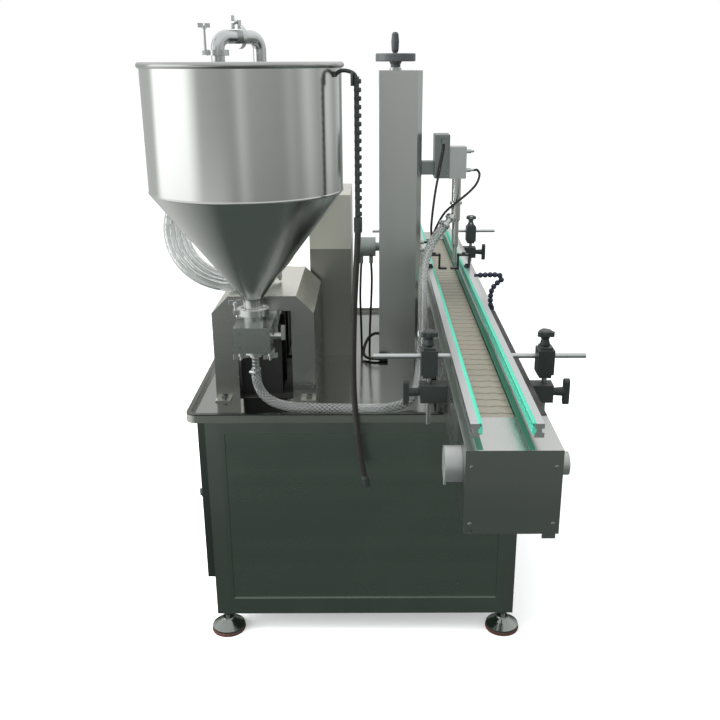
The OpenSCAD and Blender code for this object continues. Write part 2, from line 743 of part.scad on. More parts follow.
clip_at = [160, -276, 832];
clip_slope = 44;

module pipe_clamps() color(STEEL) placed() {
    translate([pump_x, hopper_y, ferrule_z - 8])
        rotate([0, 0, 20]) clamp_ring(ferrule_d, clamp_d, 16, 14);
    translate([bend_in[0], bend_in[1], bend_z - 15]) rotate([0, 0, 35])
        clamp_ring(infeed_d, infeed_d + 22, 14, 52);
    translate([bend_out[0], bend_out[1], bend_z]) rotate([0, 0, bend_turn])
        translate([bend_span / 2 - 6, 0, bend_r]) rotate([0, 90, 0])
        clamp_ring(infeed_d, infeed_d + 24, 12, 6);
    for (x = [-38, 38]) translate([pump_x + x, hopper_y, valve_z0 - 12]) mirror([0, 0, 1]) {
        rotate([0, 0, 25]) wing_nut(1);
        cylinder(d = 8, h = 20);
    }
    difference() {
        translate(clip_at) rotate([-clip_slope, 0, 0]) translate([0, 0, -8]) clip_ring();
        span([frame_x0, -400, frame_z0], [frame_x1, 0, conv_z]);
    }
}

// Strap that holds the product hose to the conveyor's side
module clip_ring() difference() {
    union() {
        cylinder(d = hose_d + 6, h = 16);
        translate([hose_d / 2, -2, 0]) cube([frame_x0 - clip_at[0] - hose_d / 2 + 2, 4, 16]);
    }
    translate([0, 0, -join]) cylinder(d = hose_d + 1.5, h = 16 + 2 * join);
}

// Hopper

hook_a = -20;
hook_reach = 48;

module hopper() color(STEEL) placed() {
    r0 = neck_d / 2;
    t = hopper_t;
    translate([pump_x, hopper_y, 0]) {
        rotate_extrude() {
            polygon([[r0 - t, ferrule_z], [ferrule_d / 2, ferrule_z],
                [ferrule_d / 2, ferrule_z + ferrule_t],
                [r0, ferrule_z + ferrule_t], [r0, cone_z0], [hopper_r, cone_z1],
                    [hopper_r, hopper_z1 - bead_d / 2],
                [hopper_r - t, hopper_z1 - bead_d / 2], [hopper_r - t, cone_z1 + 1],
                    [r0 - t, cone_z0 + 1]]);
            translate([rim_r, hopper_z1 - bead_d / 2]) circle(d = bead_d);
        }
        rotate([0, 0, hook_a]) {
            translate([hopper_r - 0.5, -9, hopper_z1 - 52]) cube([hook_reach, 18, 5]);
            translate([hopper_r + hook_reach - 5.5, -9, hopper_z1 - 52]) cube([5, 18, 30]);
        }
    }
    difference() {
        saddle_body();
        bar_z(infeed_d, saddle_z - join, saddle_z + saddle_h + join, bend_out[0], bend_out[1]);
        translate([pump_x, hopper_y, 0]) cylinder(r = hopper_r - 1, h = 2 * hopper_z1);
    }
}

// Saddle welded to the back of the hopper that carries the infeed pipe
module saddle_body() {
    bar_z(infeed_d + 14, saddle_z, saddle_z + saddle_h, bend_out[0], bend_out[1]);
    reach = norm(bend_out - [pump_x, hopper_y]);
    translate([pump_x, hopper_y, saddle_z])
        rotate([0, 0, atan2(bend_out[1] - hopper_y, bend_out[0] - pump_x)])
        translate([hopper_r - 1.5, -8, 2]) cube([reach - hopper_r - infeed_d / 2 - 2, 16, saddle_h - 4]);
}

module infeed_run(d) {
    straight = bend_span - 2 * bend_r;
    h_out = bend_z - leg_out_z0;
    h_in = bend_z - leg_in_z0;
    translate([0, 0, -h_out]) cylinder(d = d, h = h_out);
    translate([bend_span, 0, -h_in]) cylinder(d = d, h = h_in);
    translate([bend_r, 0, bend_r]) rotate([0, 90, 0]) cylinder(d = d, h = straight);
    translate([bend_r, 0, 0]) rotate([90, 0, 0]) rotate([0, 0, 90]) rotate_extrude(angle = 90)
        translate([bend_r, 0]) circle(d = d);
    translate([bend_span - bend_r, 0, 0]) rotate([90, 0, 0]) rotate_extrude(angle = 90)
        translate([bend_r, 0]) circle(d = d);
}

module infeed_bend() color(STEEL) placed() {
    translate([bend_out[0], bend_out[1], bend_z]) rotate([0, 0, bend_turn]) difference() {
        infeed_run(infeed_d);
        infeed_run(infeed_d - 2 * infeed_wall);
        for (p = [[0, leg_out_z0], [bend_span, leg_in_z0]])
            translate([p[0], 0, p[1] - bend_z - join])
                cylinder(d = infeed_d - 2 * infeed_wall, h = 2 * join);
    }
    difference() {
        union() {
            bar_z(infeed_d + 16, leg_out_z0 - 10, leg_out_z0, bend_out[0], bend_out[1]);
            bar_z(coil_hose_d - 1, leg_out_z0 - 34, leg_out_z0 - 9, bend_out[0], bend_out[1]);
        }
        bar_z(coil_hose_d - 8, leg_out_z0 - 35, leg_out_z0 + join, bend_out[0], bend_out[1]);
    }
    tail = infeed_points[len(infeed_points) - 1];
    tail_dir = unit(tail - infeed_points[len(infeed_points) - 2]);
    difference() {
        union() {
            bar_along(coil_hose_d - 1, tail + end_gap * tail_dir, tail_dir, 26);
            bar_along(coil_hose_d + 9, tail + 24 * tail_dir, tail_dir, 8);
        }
        bar_along(coil_hose_d - 8, tail - join * tail_dir, tail_dir, 40);
    }
}

// Control box

module control_box() color(STEEL) placed() difference() {
    union() {
        span([box_x0, box_y0, table_z], [box_x1, box_y1, box_z1]);
        translate([box_x0 - 3, stop_y, stop_z]) rotate([0, 90, 0]) cylinder(d = 34, h = 4);
    }
    span([box_x0 + panel_t, box_y0 + panel_t, table_z - join],
        [box_x1 - panel_t, box_y1 - panel_t, box_z1 - panel_t]);
    for (x = [box_x0 - join, box_x1 - join]) span([x, box_y0 - join, seam_z],
        [x + 2 * join, box_y1 + join, seam_z + 2]);
    for (y = [box_y0 - join, box_y1 - join]) span([box_x0 - join, y, seam_z],
        [box_x1 + join, y + 2 * join, seam_z + 2]);
    span([box_x0 - join, box_y0 + 30, seam_z + 30], [box_x0 + join, box_y0 + 180, box_z1 - 26]);
    bar_x(stop_stem_d + 2 * run_fit, box_x0 - 4, box_x0 + panel_t + join, stop_y, stop_z);
}

module e_stop() color(RED) placed() {
    translate([box_x0 - 9, stop_y, stop_z]) rotate([0, -90, 0])
        rotate_extrude() polygon([[0, 0], [stop_d / 2 - 4, 0], [stop_d / 2, 5], [stop_d / 2, 10],
            [stop_d / 2 - 5, 16], [0, 18]]);
    bar_x(stop_stem_d, box_x0 - 10, box_x0 + 12, stop_y, stop_z);
}

// Lift column

column_fold = 14;
module column_outline(inset) {
    f = column_fold;
    polygon([[column_x0 + inset, column_y0 + inset], [column_x1 - f, column_y0 + inset],
        [column_x1 - inset, column_y0 + f], [column_x1 - inset, column_y1 - inset],
            [column_x0 + inset, column_y1 - inset]]);
}

module lift_column() color(STEEL) placed() {
    difference() {
        translate([0, 0, table_z]) linear_extrude(column_h - cap_t) column_outline(0);
        translate([0, 0, table_z + 8]) linear_extrude(column_h) column_outline(column_wall);
        span([column_x1 - 2 * column_wall, nozzle_y - arm_w / 2 - 4, arm_z0 - lift_down - 14],
            [column_x1 + join, nozzle_y + arm_w / 2 + 4, arm_z0 + arm_h + lift_up + 14]);
        for (y = [-1, 1]) bar_z(guide_rod_d, table_z + 4, table_z + 9, screw_x, screw_y + y * guide_off);
    }
    for (p = [tube_route_a[9], tube_route_b[13]]) bar_x(12, column_x1, p[0] - end_gap, p[1], p[2]);
}

module column_cap() color(STEEL) placed() difference() {
    union() {
        translate([0, 0, column_z1 - cap_t]) linear_extrude(cap_t) column_outline(0);
        bar_z(34, column_z1 - join, column_z1 + 7, screw_x, screw_y);
    }
    bar_z(screw_d + 2 * run_fit, column_z1 - cap_t - join, column_z1 + 8, screw_x, screw_y);
    for (y = [-1, 1])
        bar_z(guide_rod_d, column_z1 - cap_t - join, column_z1 - 2, screw_x, screw_y + y * guide_off);
}

module guide_rods() color(STEEL) placed() for (y = [-1, 1])
    bar_z(guide_rod_d, table_z + 4, column_z1 - 2, screw_x, screw_y + y * guide_off);

module lead_screw() color(STEEL) placed() {
    bar_z(screw_d, nut_z0 - lift_down - 20, wheel_z, screw_x, screw_y);
    bar_z(screw_d + 10, column_z1 - cap_t - 10, column_z1 - cap_t - pass_gap, screw_x, screw_y);
}

module handwheel() color(ALUMINIUM) placed() translate([screw_x, screw_y, 0]) {
    difference() {
        union() {
            translate([0, 0, wheel_z]) rotate_extrude() translate([wheel_d / 2, 0])
                polygon([[-9, -14], [-2, -14], [0, -12], [0, 6], [-2, 8], [-9, 8], [-11, 6], [-11, -12]]);
            translate([0, 0, column_z1 + 8]) rotate_extrude() polygon([[0, 0], [14, 0], [14, 8],
                [24, wheel_z - column_z1 - 12], [24, wheel_z - column_z1 - 4],
                    [0, wheel_z - column_z1 - 4]]);
            for (a = [90, 210, 330]) rotate([0, 0, a]) translate([16, 0, wheel_z - 3]) rotate([0, 90, 0])
                cylinder(d = 9, h = wheel_r - 16);
            translate([0, wheel_r, wheel_z - 6]) cylinder(d = 15, h = 16);
        }
        translate([0, 0, column_z1]) cylinder(d = screw_d, h = wheel_z - column_z1);
        translate([0, wheel_r, wheel_z - 2]) cylinder(d = 8, h = 20);
    }
}

module wheel_grip() color(ALUMINIUM) placed() translate([screw_x, screw_y + wheel_r, wheel_z + 10.5]) {
    rotate_extrude() polygon([[0, 0], [grip_d / 2 - 3, 0], [grip_d / 2, 8],
        [grip_d / 2 + 1, grip_h * 0.55],
        [grip_d / 2 - 1, grip_h - 5], [grip_d / 2 - 5, grip_h], [0, grip_h]]);
    translate([0, 0, -11]) cylinder(d = 8 - 2 * run_fit, h = 12);
}

// Carriage with its arm and the box that holds the nozzle

module lift_carriage() color(STEEL) placed() difference() {
    union() {
        span([column_x0 + 14, screw_y - 64, nut_z0], [column_x1 - 26, screw_y + 64, nut_z0 + nut_h]);
        span([column_x1 - 27, nozzle_y - arm_w / 2, arm_z0],
            [head_x0 + join, nozzle_y + arm_w / 2, arm_z0 + arm_h]);
        span([head_x0, nozzle_y - 40, head_z0], [head_x1, nozzle_y + 40, head_z1]);
        span(tube_route_a[0] + [-6, -6, end_gap], tube_route_a[0] + [6, 12, 13]);
    }
    bar_z(screw_d + 4 * run_fit, nut_z0 - join, nut_z0 + nut_h + join, screw_x, screw_y);
    for (y = [-1, 1])
        bar_z(guide_rod_d + 2 * run_fit, nut_z0 - join, nut_z0 + nut_h + join, screw_x,
            screw_y + y * guide_off);
    span([head_x0 + 4, nozzle_y - 41, head_z0 + 8], [head_x1 - 4, nozzle_y - 37, head_z1 - 8]);
}

module nozzle_cylinder() color(ALUMINIUM) placed() difference() {
    union() {
        span([nozzle_x - cyl_w / 2, nozzle_y - cyl_w / 2, cyl_z0],
            [nozzle_x + cyl_w / 2, nozzle_y + cyl_w / 2, cyl_z0 + cyl_h]);
        for (z = [cyl_z0 + 22, cyl_z0 + cyl_h - 14]) {
            bar_x(13, nozzle_x + cyl_w / 2, nozzle_x + cyl_w / 2 + 15, nozzle_y, z);
            bar_x(8, nozzle_x + cyl_w / 2 + 14, nozzle_x + cyl_w / 2 + 24, nozzle_y, z);
        }
    }
    bar_z(cyl_bore, cyl_z0 + 16, cyl_z0 + cyl_h - 12, nozzle_x, nozzle_y);
    bar_z(plunger_d + 2 * run_fit, cyl_z0 - join, cyl_z0 + 17, nozzle_x, nozzle_y);
}

module nozzle_body() color(STEEL) placed() difference() {
    union() {
        translate([nozzle_x, nozzle_y, 0]) rotate_extrude() polygon([[0, tip_z],
            [tip_bore / 2 + 2, tip_z],
            [tip_bore / 2 + 2, tip_z + 42], [10, tip_z + 54], [10, tip_z + 122],
                [nozzle_d / 2, tip_z + 128],
            [nozzle_d / 2, tip_z + 172], [nozzle_d / 2 + 5, tip_z + 174], [nozzle_d / 2 + 5, tip_z + 182],
            [nozzle_d / 2, tip_z + 184], [nozzle_d / 2, cyl_z0], [0, cyl_z0]]);
        bar_along(18, [nozzle_x, nozzle_y, branch_z], branch_dir, branch_l);
        bar_along(32, [nozzle_x, nozzle_y, branch_z] + 22 * branch_dir, branch_dir, 9);
    }
    bar_z(tip_bore, tip_z - join, cyl_z0 + join, nozzle_x, nozzle_y);
    bar_z(nozzle_d - 9, tip_z + 132, cyl_z0 - 8, nozzle_x, nozzle_y);
    bar_along(12, [nozzle_x, nozzle_y, branch_z], branch_dir, branch_l + join);
}

module nozzle_plunger() color(STEEL) placed() {
    bar_z(tip_bore - 2 * run_fit, tip_z + 1, tip_z + 12, nozzle_x, nozzle_y);
    bar_z(plunger_d - 1, tip_z + 11, tip_z + 40, nozzle_x, nozzle_y);
    bar_z(plunger_d, tip_z + 39, cyl_z0 + 26, nozzle_x, nozzle_y);
    bar_z(cyl_bore - 2 * run_fit, cyl_z0 + 22, cyl_z0 + 36, nozzle_x, nozzle_y);
}

// Conveyor

module both_ends() {
    children();
    mirror([0, 1, 0]) children();
}

module conveyor_frame() color(STEEL) placed() {
    l = end_y;
    span([frame_x0, -l, frame_z0], [frame_x0 + frame_t, l, conv_z]);
    span([frame_x1 - frame_t, -l, frame_z0], [frame_x1, l, conv_z]);
    span([frame_x0, -l, conv_z - frame_t], [chain_x - strip_x - strip_w, l, conv_z]);
    span([chain_x + strip_x + strip_w, -l, conv_z - frame_t], [frame_x1, l, conv_z]);
    span([frame_x0, -l, frame_z0], [frame_x0 + 26, l, frame_z0 + frame_t]);
    span([frame_x1 - 26, -l, frame_z0], [frame_x1, l, frame_z0 + frame_t]);
    for (y = cross_ys) span([frame_x0, y - 15, shaft_z - 12], [frame_x1, y + 15, shaft_z + 18]);
    for (y = leg_ys, x = [frame_x0 + 3, frame_x1 - 43]) span([x, y - 25, table_z],
        [x + 40, y + 25, frame_z0 + join]);
}

module end_boxes() color(DARK_STEEL) placed() both_ends() difference() {
    union() {
        span([frame_x0, -conv_y, end_z0], [frame_x1, -conv_y + frame_t, conv_z]);
        for (x = [frame_x0, frame_x1 - frame_t]) span([x, -conv_y, end_z0],
            [x + frame_t, -end_y, conv_z]);
        span([frame_x0, -conv_y, conv_z - frame_t], [chain_x - strip_x - strip_w, -end_y, conv_z]);
        span([chain_x + strip_x + strip_w, -conv_y, conv_z - frame_t], [frame_x1, -end_y, conv_z]);
        span([chain_x - strip_x, -conv_y, conv_z - frame_t], [chain_x + strip_x, -end_y + 10, conv_z]);
        span([frame_x1 - 32, -conv_y, end_z0 - 10], [frame_x1 - 6, -conv_y + frame_t, end_z0 + join]);
    }
    for (x = [frame_x0, frame_x1 - frame_t])
        bar_x(shaft_d + 6, x - join, x + frame_t + join, -shaft_y, shaft_z);
    bar_y(8, -conv_y - join, -conv_y + frame_t + join, frame_x0 + 14, end_z0 + 6);
}

// Flat outline of the chain's loop, seen from the side
module chain_loop(r) {
    translate([-shaft_y, -r]) square([2 * shaft_y, 2 * r]);
    for (y = [-shaft_y, shaft_y]) translate([y, 0]) circle(r = r);
}

module conveyor_chain() color(SLAT) placed() difference() {
    translate([chain_x - chain_w / 2, 0, shaft_z])
        rotate([90, 0, 90]) linear_extrude(chain_w) difference() {
        chain_loop(wrap_r + chain_t);
        chain_loop(wrap_r);
    }
    slats = floor(shaft_y / chain_pitch);
    for (k = [-slats : slats])
        span([chain_x - chain_w / 2 - join, k * chain_pitch - 0.8, chain_z - 2],
            [chain_x + chain_w / 2 + join, k * chain_pitch + 0.8, chain_z + join]);
}

module wear_strips() color(GREEN) placed() for (s = [-1, 1]) translate([chain_x, 0, 0]) {
    x0 = min(s * strip_x, s * (strip_x + strip_w));
    l = conv_y - frame_t;
    span([x0, -l, conv_z - strip_h], [x0 + strip_w, l, conv_z]);
    lip0 = min(s * (chain_w / 2 - 10), s * (strip_x + join));
    span([lip0, -end_y, conv_z - strip_h], [lip0 + 11 + strip_gap, end_y, chain_z - chain_t]);
}

// Chain wheel on the X axis, thickness t
module sprocket(x, y, t) difference() {
    bar_x(sprocket_d, x, x + t, y, shaft_z);
    for (k = [0 : 11]) translate([x - join, y, shaft_z]) rotate([30 * k, 0, 0])
        translate([0, 0, sprocket_d / 2 + 2]) rotate([0, 90, 0]) cylinder(d = 13, h = t + 2 * join);
}

module shaft_with_wheels(y, x0, x1) {
    difference() {
        union() {
            for (x = [chain_x - 30, chain_x + 14]) sprocket(x, y, 16);
            bar_x(46, chain_x - 30, chain_x + 30, y, shaft_z);
        }
        bar_x(shaft_d, chain_x - 40, chain_x + 40, y, shaft_z);
    }
    bar_x(shaft_d, x0, x1, y, shaft_z);
}

module drive_shaft() color(STEEL) placed() shaft_with_wheels(-shaft_y, frame_x0 - boss_l + 6,
    frame_x1 + cap_l - 6);

module idler_shaft() color(STEEL) placed() shaft_with_wheels(shaft_y, frame_x0 - 10, frame_x1 + 2);

// Round bearing housing on the outside of an end box; the shaft turns in its bore
module bearing_at(x, side, y, d, l) difference() {
    union() {
        if (side < 0) bar_x(d, x - l, x, y, shaft_z);
        if (side > 0) bar_x(d, x, x + l, y, shaft_z);
    }
    if (side < 0) bar_x(shaft_d + 2 * run_fit, x - l + 4, x + join, y, shaft_z);
    if (side > 0) bar_x(shaft_d + 2 * run_fit, x - join, x + l - 3, y, shaft_z);
}

module shaft_bearings() color(ALUMINIUM) placed() {
    bearing_at(frame_x0, -1, -shaft_y, boss_d, boss_l);
    span([frame_x0 - boss_l, -shaft_y - 6, shaft_z - boss_d / 2 - 8],
        [frame_x0 - boss_l + 5, -shaft_y + 6, shaft_z - boss_d / 2 + 4]);
    bearing_at(frame_x1, 1, -shaft_y, 46, cap_l);
    bearing_at(frame_x0, -1, shaft_y, 46, 16);
    bearing_at(frame_x1, 1, shaft_y, 46, 7);
}

module gearmotor() color(ALUMINIUM) placed() {
    x0 = frame_x1 - 56;
    x1 = frame_x1 - frame_t - 3;
    mid = (x0 + x1) / 2;
    difference() {
        span([x0, -shaft_y - 34, shaft_z - 40], [x1, -shaft_y + 44, shaft_z + 38]);
        bar_x(shaft_d + 2 * run_fit, x0 - join, x1 + join, -shaft_y, shaft_z);
    }
    bar_y(50, -shaft_y + 44, -shaft_y + 210, mid, shaft_z - 4);
    bar_y(44, -shaft_y + 210, -shaft_y + 226, mid, shaft_z - 4);
    span([mid + 20, -shaft_y + 20, shaft_z - 8], [frame_x1 - frame_t, -shaft_y + 36, shaft_z + 8]);
}

module screws() color(STEEL) placed() {
    both_ends() for (x = [frame_x0 + 12, frame_x1 - 12], z = [end_z0 + 22, conv_z - 34])
        translate([x, -conv_y, z]) rotate([90, 0, 0]) cylinder(d1 = 9, d2 = 6, h = 3);
    for (x = [tunnel_x - tunnel_w / 2 + 22, tunnel_x + tunnel_w / 2 - 18])
        translate([x, tunnel_y0 - 12, table_z + 4]) hexagon(13, 8);
    for (x = [-1, 1]) {
        translate([pump_x + x * (valve_w / 2 - 9), valve_y0, valve_z0 + 12])
            rotate([90, 0, 0]) hexagon(8, 5);
        translate([pump_x + x * (valve_w / 2 - 9), valve_y0, valve_z1 - 16])
            rotate([90, 0, 0]) hexagon(8, 5);
    }
}

// Guide rails. Each side is drawn at x = 0 for its lane face and opens towards +X.

module rail_side(x, side) translate([x, 0, 0]) mirror([side < 0 ? 1 : 0, 0, 0]) children();

module rail_bar() {
    difference() {
        span([insert_w, -rail_l / 2, rail_z - rail_h / 2],
            [insert_w + rail_w, rail_l / 2, rail_z + rail_h / 2]);
        span([insert_w + rail_w - 5, -rail_l / 2 - join, rail_z - 4],
            [insert_w + rail_w + join, rail_l / 2 + join, rail_z + 4]);
        span([insert_w - join, -rail_l / 2 - join, rail_z - 4],
            [insert_w + 3, rail_l / 2 + join, rail_z + 4]);
    }
    for (y = support_ys) bar_x(guide_d, insert_w + rail_w - 5, insert_w + rail_w + rod_out,
        y + rod_off, rail_z);
}

module rail_insert() {
    span([0, -rail_l / 2, rail_z - insert_h / 2], [insert_w, rail_l / 2, rail_z + insert_h / 2]);
    span([insert_w - join, -rail_l / 2, rail_z - 3.9], [insert_w + 2.9, rail_l / 2, rail_z + 3.9]);
}

module rail_left() color(ALUMINIUM) placed() rail_side(lane_x0, -1) rail_bar();

module rail_right() color(ALUMINIUM) placed() rail_side(lane_x1, 1) rail_bar();

module insert_left() color(GREEN) placed() rail_side(lane_x0, -1) rail_insert();

module insert_right() color(GREEN) placed() rail_side(lane_x1, 1) rail_insert();

// Post and cross clamp, drawn at the frame's side face and opening towards +X

module support() for (i = [0, 1]) {
    y = support_ys[i];
    bar_z(guide_d, post_z0, clamp_z1 - 8, post_off, y);
    difference() {
        union() {
            span([post_off - clamp_w / 2, y - 15, clamp_z0 + 8],
                [post_off + clamp_w / 2, y + rod_off + 13, clamp_z1 - 6]);
            span([post_off - clamp_w / 2 + 5, y - 12, clamp_z0],
                [post_off + clamp_w / 2 - 5, y + rod_off + 9, clamp_z1]);
        }
        bar_z(guide_d, post_z0, clamp_z1 - 8, post_off, y);
        bar_x(guide_d + 2 * run_fit, post_off - clamp_w, post_off + clamp_w, y + rod_off, rail_z);
        bar_z(screw_hole_d + 2 * run_fit, rail_z + guide_d / 2 + 3, clamp_z1 + join, post_off,
            y + rod_off);
    }
    if (i == 1) translate([post_off, y + rod_off, 0]) top_knob();
}

module top_knob() {
    bar_z(screw_hole_d, rail_z + guide_d / 2 + 5, clamp_z1 + 4, 0, 0);
    translate([0, 0, clamp_z1 + 1]) rotate_extrude() polygon([[0, 0], [12, 0], [9, 12], [11, 18],
        [16, 22], [16, 31], [13, 34], [0, 34]]);
    for (a = [90, 210, 330]) rotate([0, 0, a]) translate([14, 0, clamp_z1 + 22]) cylinder(d = 15, h = 11);
}

module side_knob() {
    bar_x(screw_hole_d, post_off + 12, post_off + 32, 0, 0);
    translate([post_off + bracket_w / 2 + 1, 0, 0]) rotate([0, 90, 0]) cylinder(d1 = 18, d2 = 22, h = 26);
    translate([post_off + bracket_w / 2 + 33, 0, 0]) cube([13, 20, 50], center = true);
    for (z = [-1, 1]) bar_x(20, post_off + bracket_w / 2 + 26.5, post_off + bracket_w / 2 + 39.5, 0,
        z * 22);
}

module bracket() for (i = [0, 1]) {
    y = support_ys[i];
    difference() {
        union() {
            span([0, y - bracket_w / 2, bracket_z0],
                [post_off + bracket_w / 2, y + bracket_w / 2, bracket_z0 + bracket_h]);
            span([0, y - bracket_w / 2 - 8, bracket_z0 - 22],
                [10, y + bracket_w / 2 + 8, bracket_z0 + 1]);
        }
        bar_z(guide_d + 2 * run_fit, bracket_z0 - join, bracket_z0 + bracket_h + join, post_off, y);
        bar_x(screw_hole_d + 2 * run_fit, post_off + 10, post_off + bracket_w, y,
            bracket_z0 + bracket_h / 2);
    }
    if (i == 1) translate([0, y, bracket_z0 + bracket_h / 2]) side_knob();
}

module supports_left() color(BLACK) placed() rail_side(frame_x0, -1) support();

module supports_right() color(BLACK) placed() rail_side(frame_x1, 1) support();

module rail_brackets() color(BLACK) placed() {
    rail_side(frame_x0, -1) bracket();
    rail_side(frame_x1, 1) bracket();
}

module knob_top_left() color(BLACK) placed() rail_side(frame_x0, -1)
    translate([post_off, support_ys[0] + rod_off, 0]) top_knob();

module knob_top_right() color(BLACK) placed() rail_side(frame_x1, 1)
    translate([post_off, support_ys[0] + rod_off, 0]) top_knob();

module knob_side_left() color(BLACK) placed() rail_side(frame_x0, -1)
    translate([0, support_ys[0], bracket_z0 + bracket_h / 2]) side_knob();

module knob_side_right() color(BLACK) placed() rail_side(frame_x1, 1)
    translate([0, support_ys[0], bracket_z0 + bracket_h / 2]) side_knob();

// Hoses, cables and small fittings

module product_hose() color(CLEAR) placed()
    swept(smooth(concat([[pump_x, hopper_y, barb_z0 - end_gap]], hose_route,
        [branch_end + end_gap * branch_dir]), 2), hose_d, 10);

module infeed_hose() color(CLEAR) placed() swept(infeed_points, coil_hose_d, 6);

strap_z0 = 1206;
strap_links = 17;
link_pitch = 18.5;
cable_d = 15;
strap_r = hopper_r - 0.5 + hook_reach + 1 + end_gap;

module sensor_cable() color(BLACK) placed() {
    translate([pump_x, hopper_y, strap_z0]) rotate([0, 0, hook_a]) translate([strap_r, 0, 0]) {
        translate([0, -5, 0]) cube([8, 10, strap_links * link_pitch]);
        for (k = [0 : strap_links - 1]) translate([-1, -6, k * link_pitch + 3]) cube([16, 12, 11]);
        translate([-3, -8, -26]) cube([17, 16, 27]);
    }
    swept(smooth(cable_route, 2), cable_d, 8);
    last = len(cable_route) - 1;
    bar_along(cable_d + 4, cable_route[last], unit(cable_route[last] - cable_route[last - 1]), 26);
}

module air_tubes() color(BLACK) placed() {
    swept(smooth(tube_route_a, 3), 7, 8);
    swept(smooth(tube_route_b, 3), 7, 8);
}

module regulator_tubes() color(BLACK) placed() {
    swept(smooth(drop_route_a, 3), 7, 8);
    swept(smooth(drop_route_b, 3), 7, 8);
    swept(smooth(lead_route, 2), 9, 8);
    bar_x(14, lead_route[7][0], lead_route[7][0] + 26, lead_route[7][1], lead_route[7][2]);
}

module air_regulator() color(ALUMINIUM) placed() {
    bar_x(58, -22, 34, 50, 1017);
    bar_x(48, -28, -22, 50, 1017);
    bar_x(26, 34, column_x0, 50, 1017);
    for (x = [-10, 20]) bar_z(12, 966, 1000, x, 50);
}

blow_base = [369, -120, conv_z];

// Middles of the blow hose's joints from its base, in X and Z, chosen by hand
blow_route = [[0, 12], [-1, 26], [-1, 40], [1, 54], [7, 67], [17, 78], [28, 87], [23, 100], [9, 102],
    [-5, 102], [-19, 101.5], [-33, 101]];
function blow_point(k) = blow_base + [blow_route[k][0], 0, blow_route[k][1]];

module blow_hose() color(BLACK) placed() {
    bar_z(22, conv_z, conv_z + 8, blow_base[0], blow_base[1]);
    last = len(blow_route) - 1;
    for (k = [0 : last]) translate(blow_point(k)) sphere(d = 16);
    bar_along(9, blow_point(last), unit(blow_point(last) - blow_point(last - 1)), 18);
}

base_frame();
cabinet_panels();
side_door();
door_hinges();
door_latch();
table_top();
electrics_plate();
levelling_feet();
foot_pads();
tunnel_cover();
pump_cradle();
metering_cylinder();
piston();
piston_seals();
drive_cylinder();
valve_body();
valve_rotor();
outlet_fitting();
pipe_clamps();
hopper();
infeed_bend();
control_box();
e_stop();
lift_column();
column_cap();
guide_rods();
lead_screw();
handwheel();
wheel_grip();
lift_carriage();
nozzle_cylinder();
nozzle_body();
nozzle_plunger();
conveyor_frame();
end_boxes();
conveyor_chain();
wear_strips();
drive_shaft();
idler_shaft();
shaft_bearings();
gearmotor();
screws();
rail_left();
rail_right();
insert_left();
insert_right();
supports_left();
supports_right();
rail_brackets();
knob_top_left();
knob_top_right();
knob_side_left();
knob_side_right();
product_hose();
infeed_hose();
sensor_cable();
air_tubes();
regulator_tubes();
air_regulator();
blow_hose();
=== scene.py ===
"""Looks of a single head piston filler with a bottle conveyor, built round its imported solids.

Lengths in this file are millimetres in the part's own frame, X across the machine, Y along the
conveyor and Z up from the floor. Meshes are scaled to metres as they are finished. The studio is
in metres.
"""

import logging
import math
from abc import ABC, abstractmethod
from collections.abc import Callable, Iterable, Sequence
from dataclasses import dataclass, replace
from enum import Enum

import bmesh
import bpy
from bpy.types import Material, Node, NodeSocket, NodeTree, Object
from mathutils import Matrix, Vector


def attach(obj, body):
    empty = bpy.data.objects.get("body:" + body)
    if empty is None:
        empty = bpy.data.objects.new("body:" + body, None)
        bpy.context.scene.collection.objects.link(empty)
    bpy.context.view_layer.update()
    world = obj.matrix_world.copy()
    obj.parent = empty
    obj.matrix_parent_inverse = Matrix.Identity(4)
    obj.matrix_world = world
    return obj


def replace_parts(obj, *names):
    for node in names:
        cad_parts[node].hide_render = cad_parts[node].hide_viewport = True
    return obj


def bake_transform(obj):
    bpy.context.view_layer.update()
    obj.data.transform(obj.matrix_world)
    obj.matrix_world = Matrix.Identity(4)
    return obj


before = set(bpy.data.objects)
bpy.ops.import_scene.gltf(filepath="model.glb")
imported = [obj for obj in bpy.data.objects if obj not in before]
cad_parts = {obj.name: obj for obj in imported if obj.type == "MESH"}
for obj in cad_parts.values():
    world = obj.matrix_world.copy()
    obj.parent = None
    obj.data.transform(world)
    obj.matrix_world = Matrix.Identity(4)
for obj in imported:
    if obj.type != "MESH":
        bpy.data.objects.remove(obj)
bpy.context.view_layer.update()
LOG = logging.getLogger("filler")
MM = 0.001
Point = Sequence[float]
Pair = tuple[float, float]
Colour = tuple[float, float, float]


class Body(Enum):
    """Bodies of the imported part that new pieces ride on."""

    MACHINE = "machine"
    HEAD = "head"
    LEFT_RAIL = "left_rail"
    RIGHT_RAIL = "right_rail"


class Grain(Enum):
    """Which way the fine lines of a surface run, as noise cycles a metre on each axis."""

    ALONG_X = (6.0, 900.0, 900.0)
    ALONG_Y = (900.0, 6.0, 900.0)
    ALONG_Z = (900.0, 900.0, 6.0)
    ROUND_Z = (5.0, 5.0, 1100.0)
    ALL_WAYS = (420.0, 420.0, 420.0)


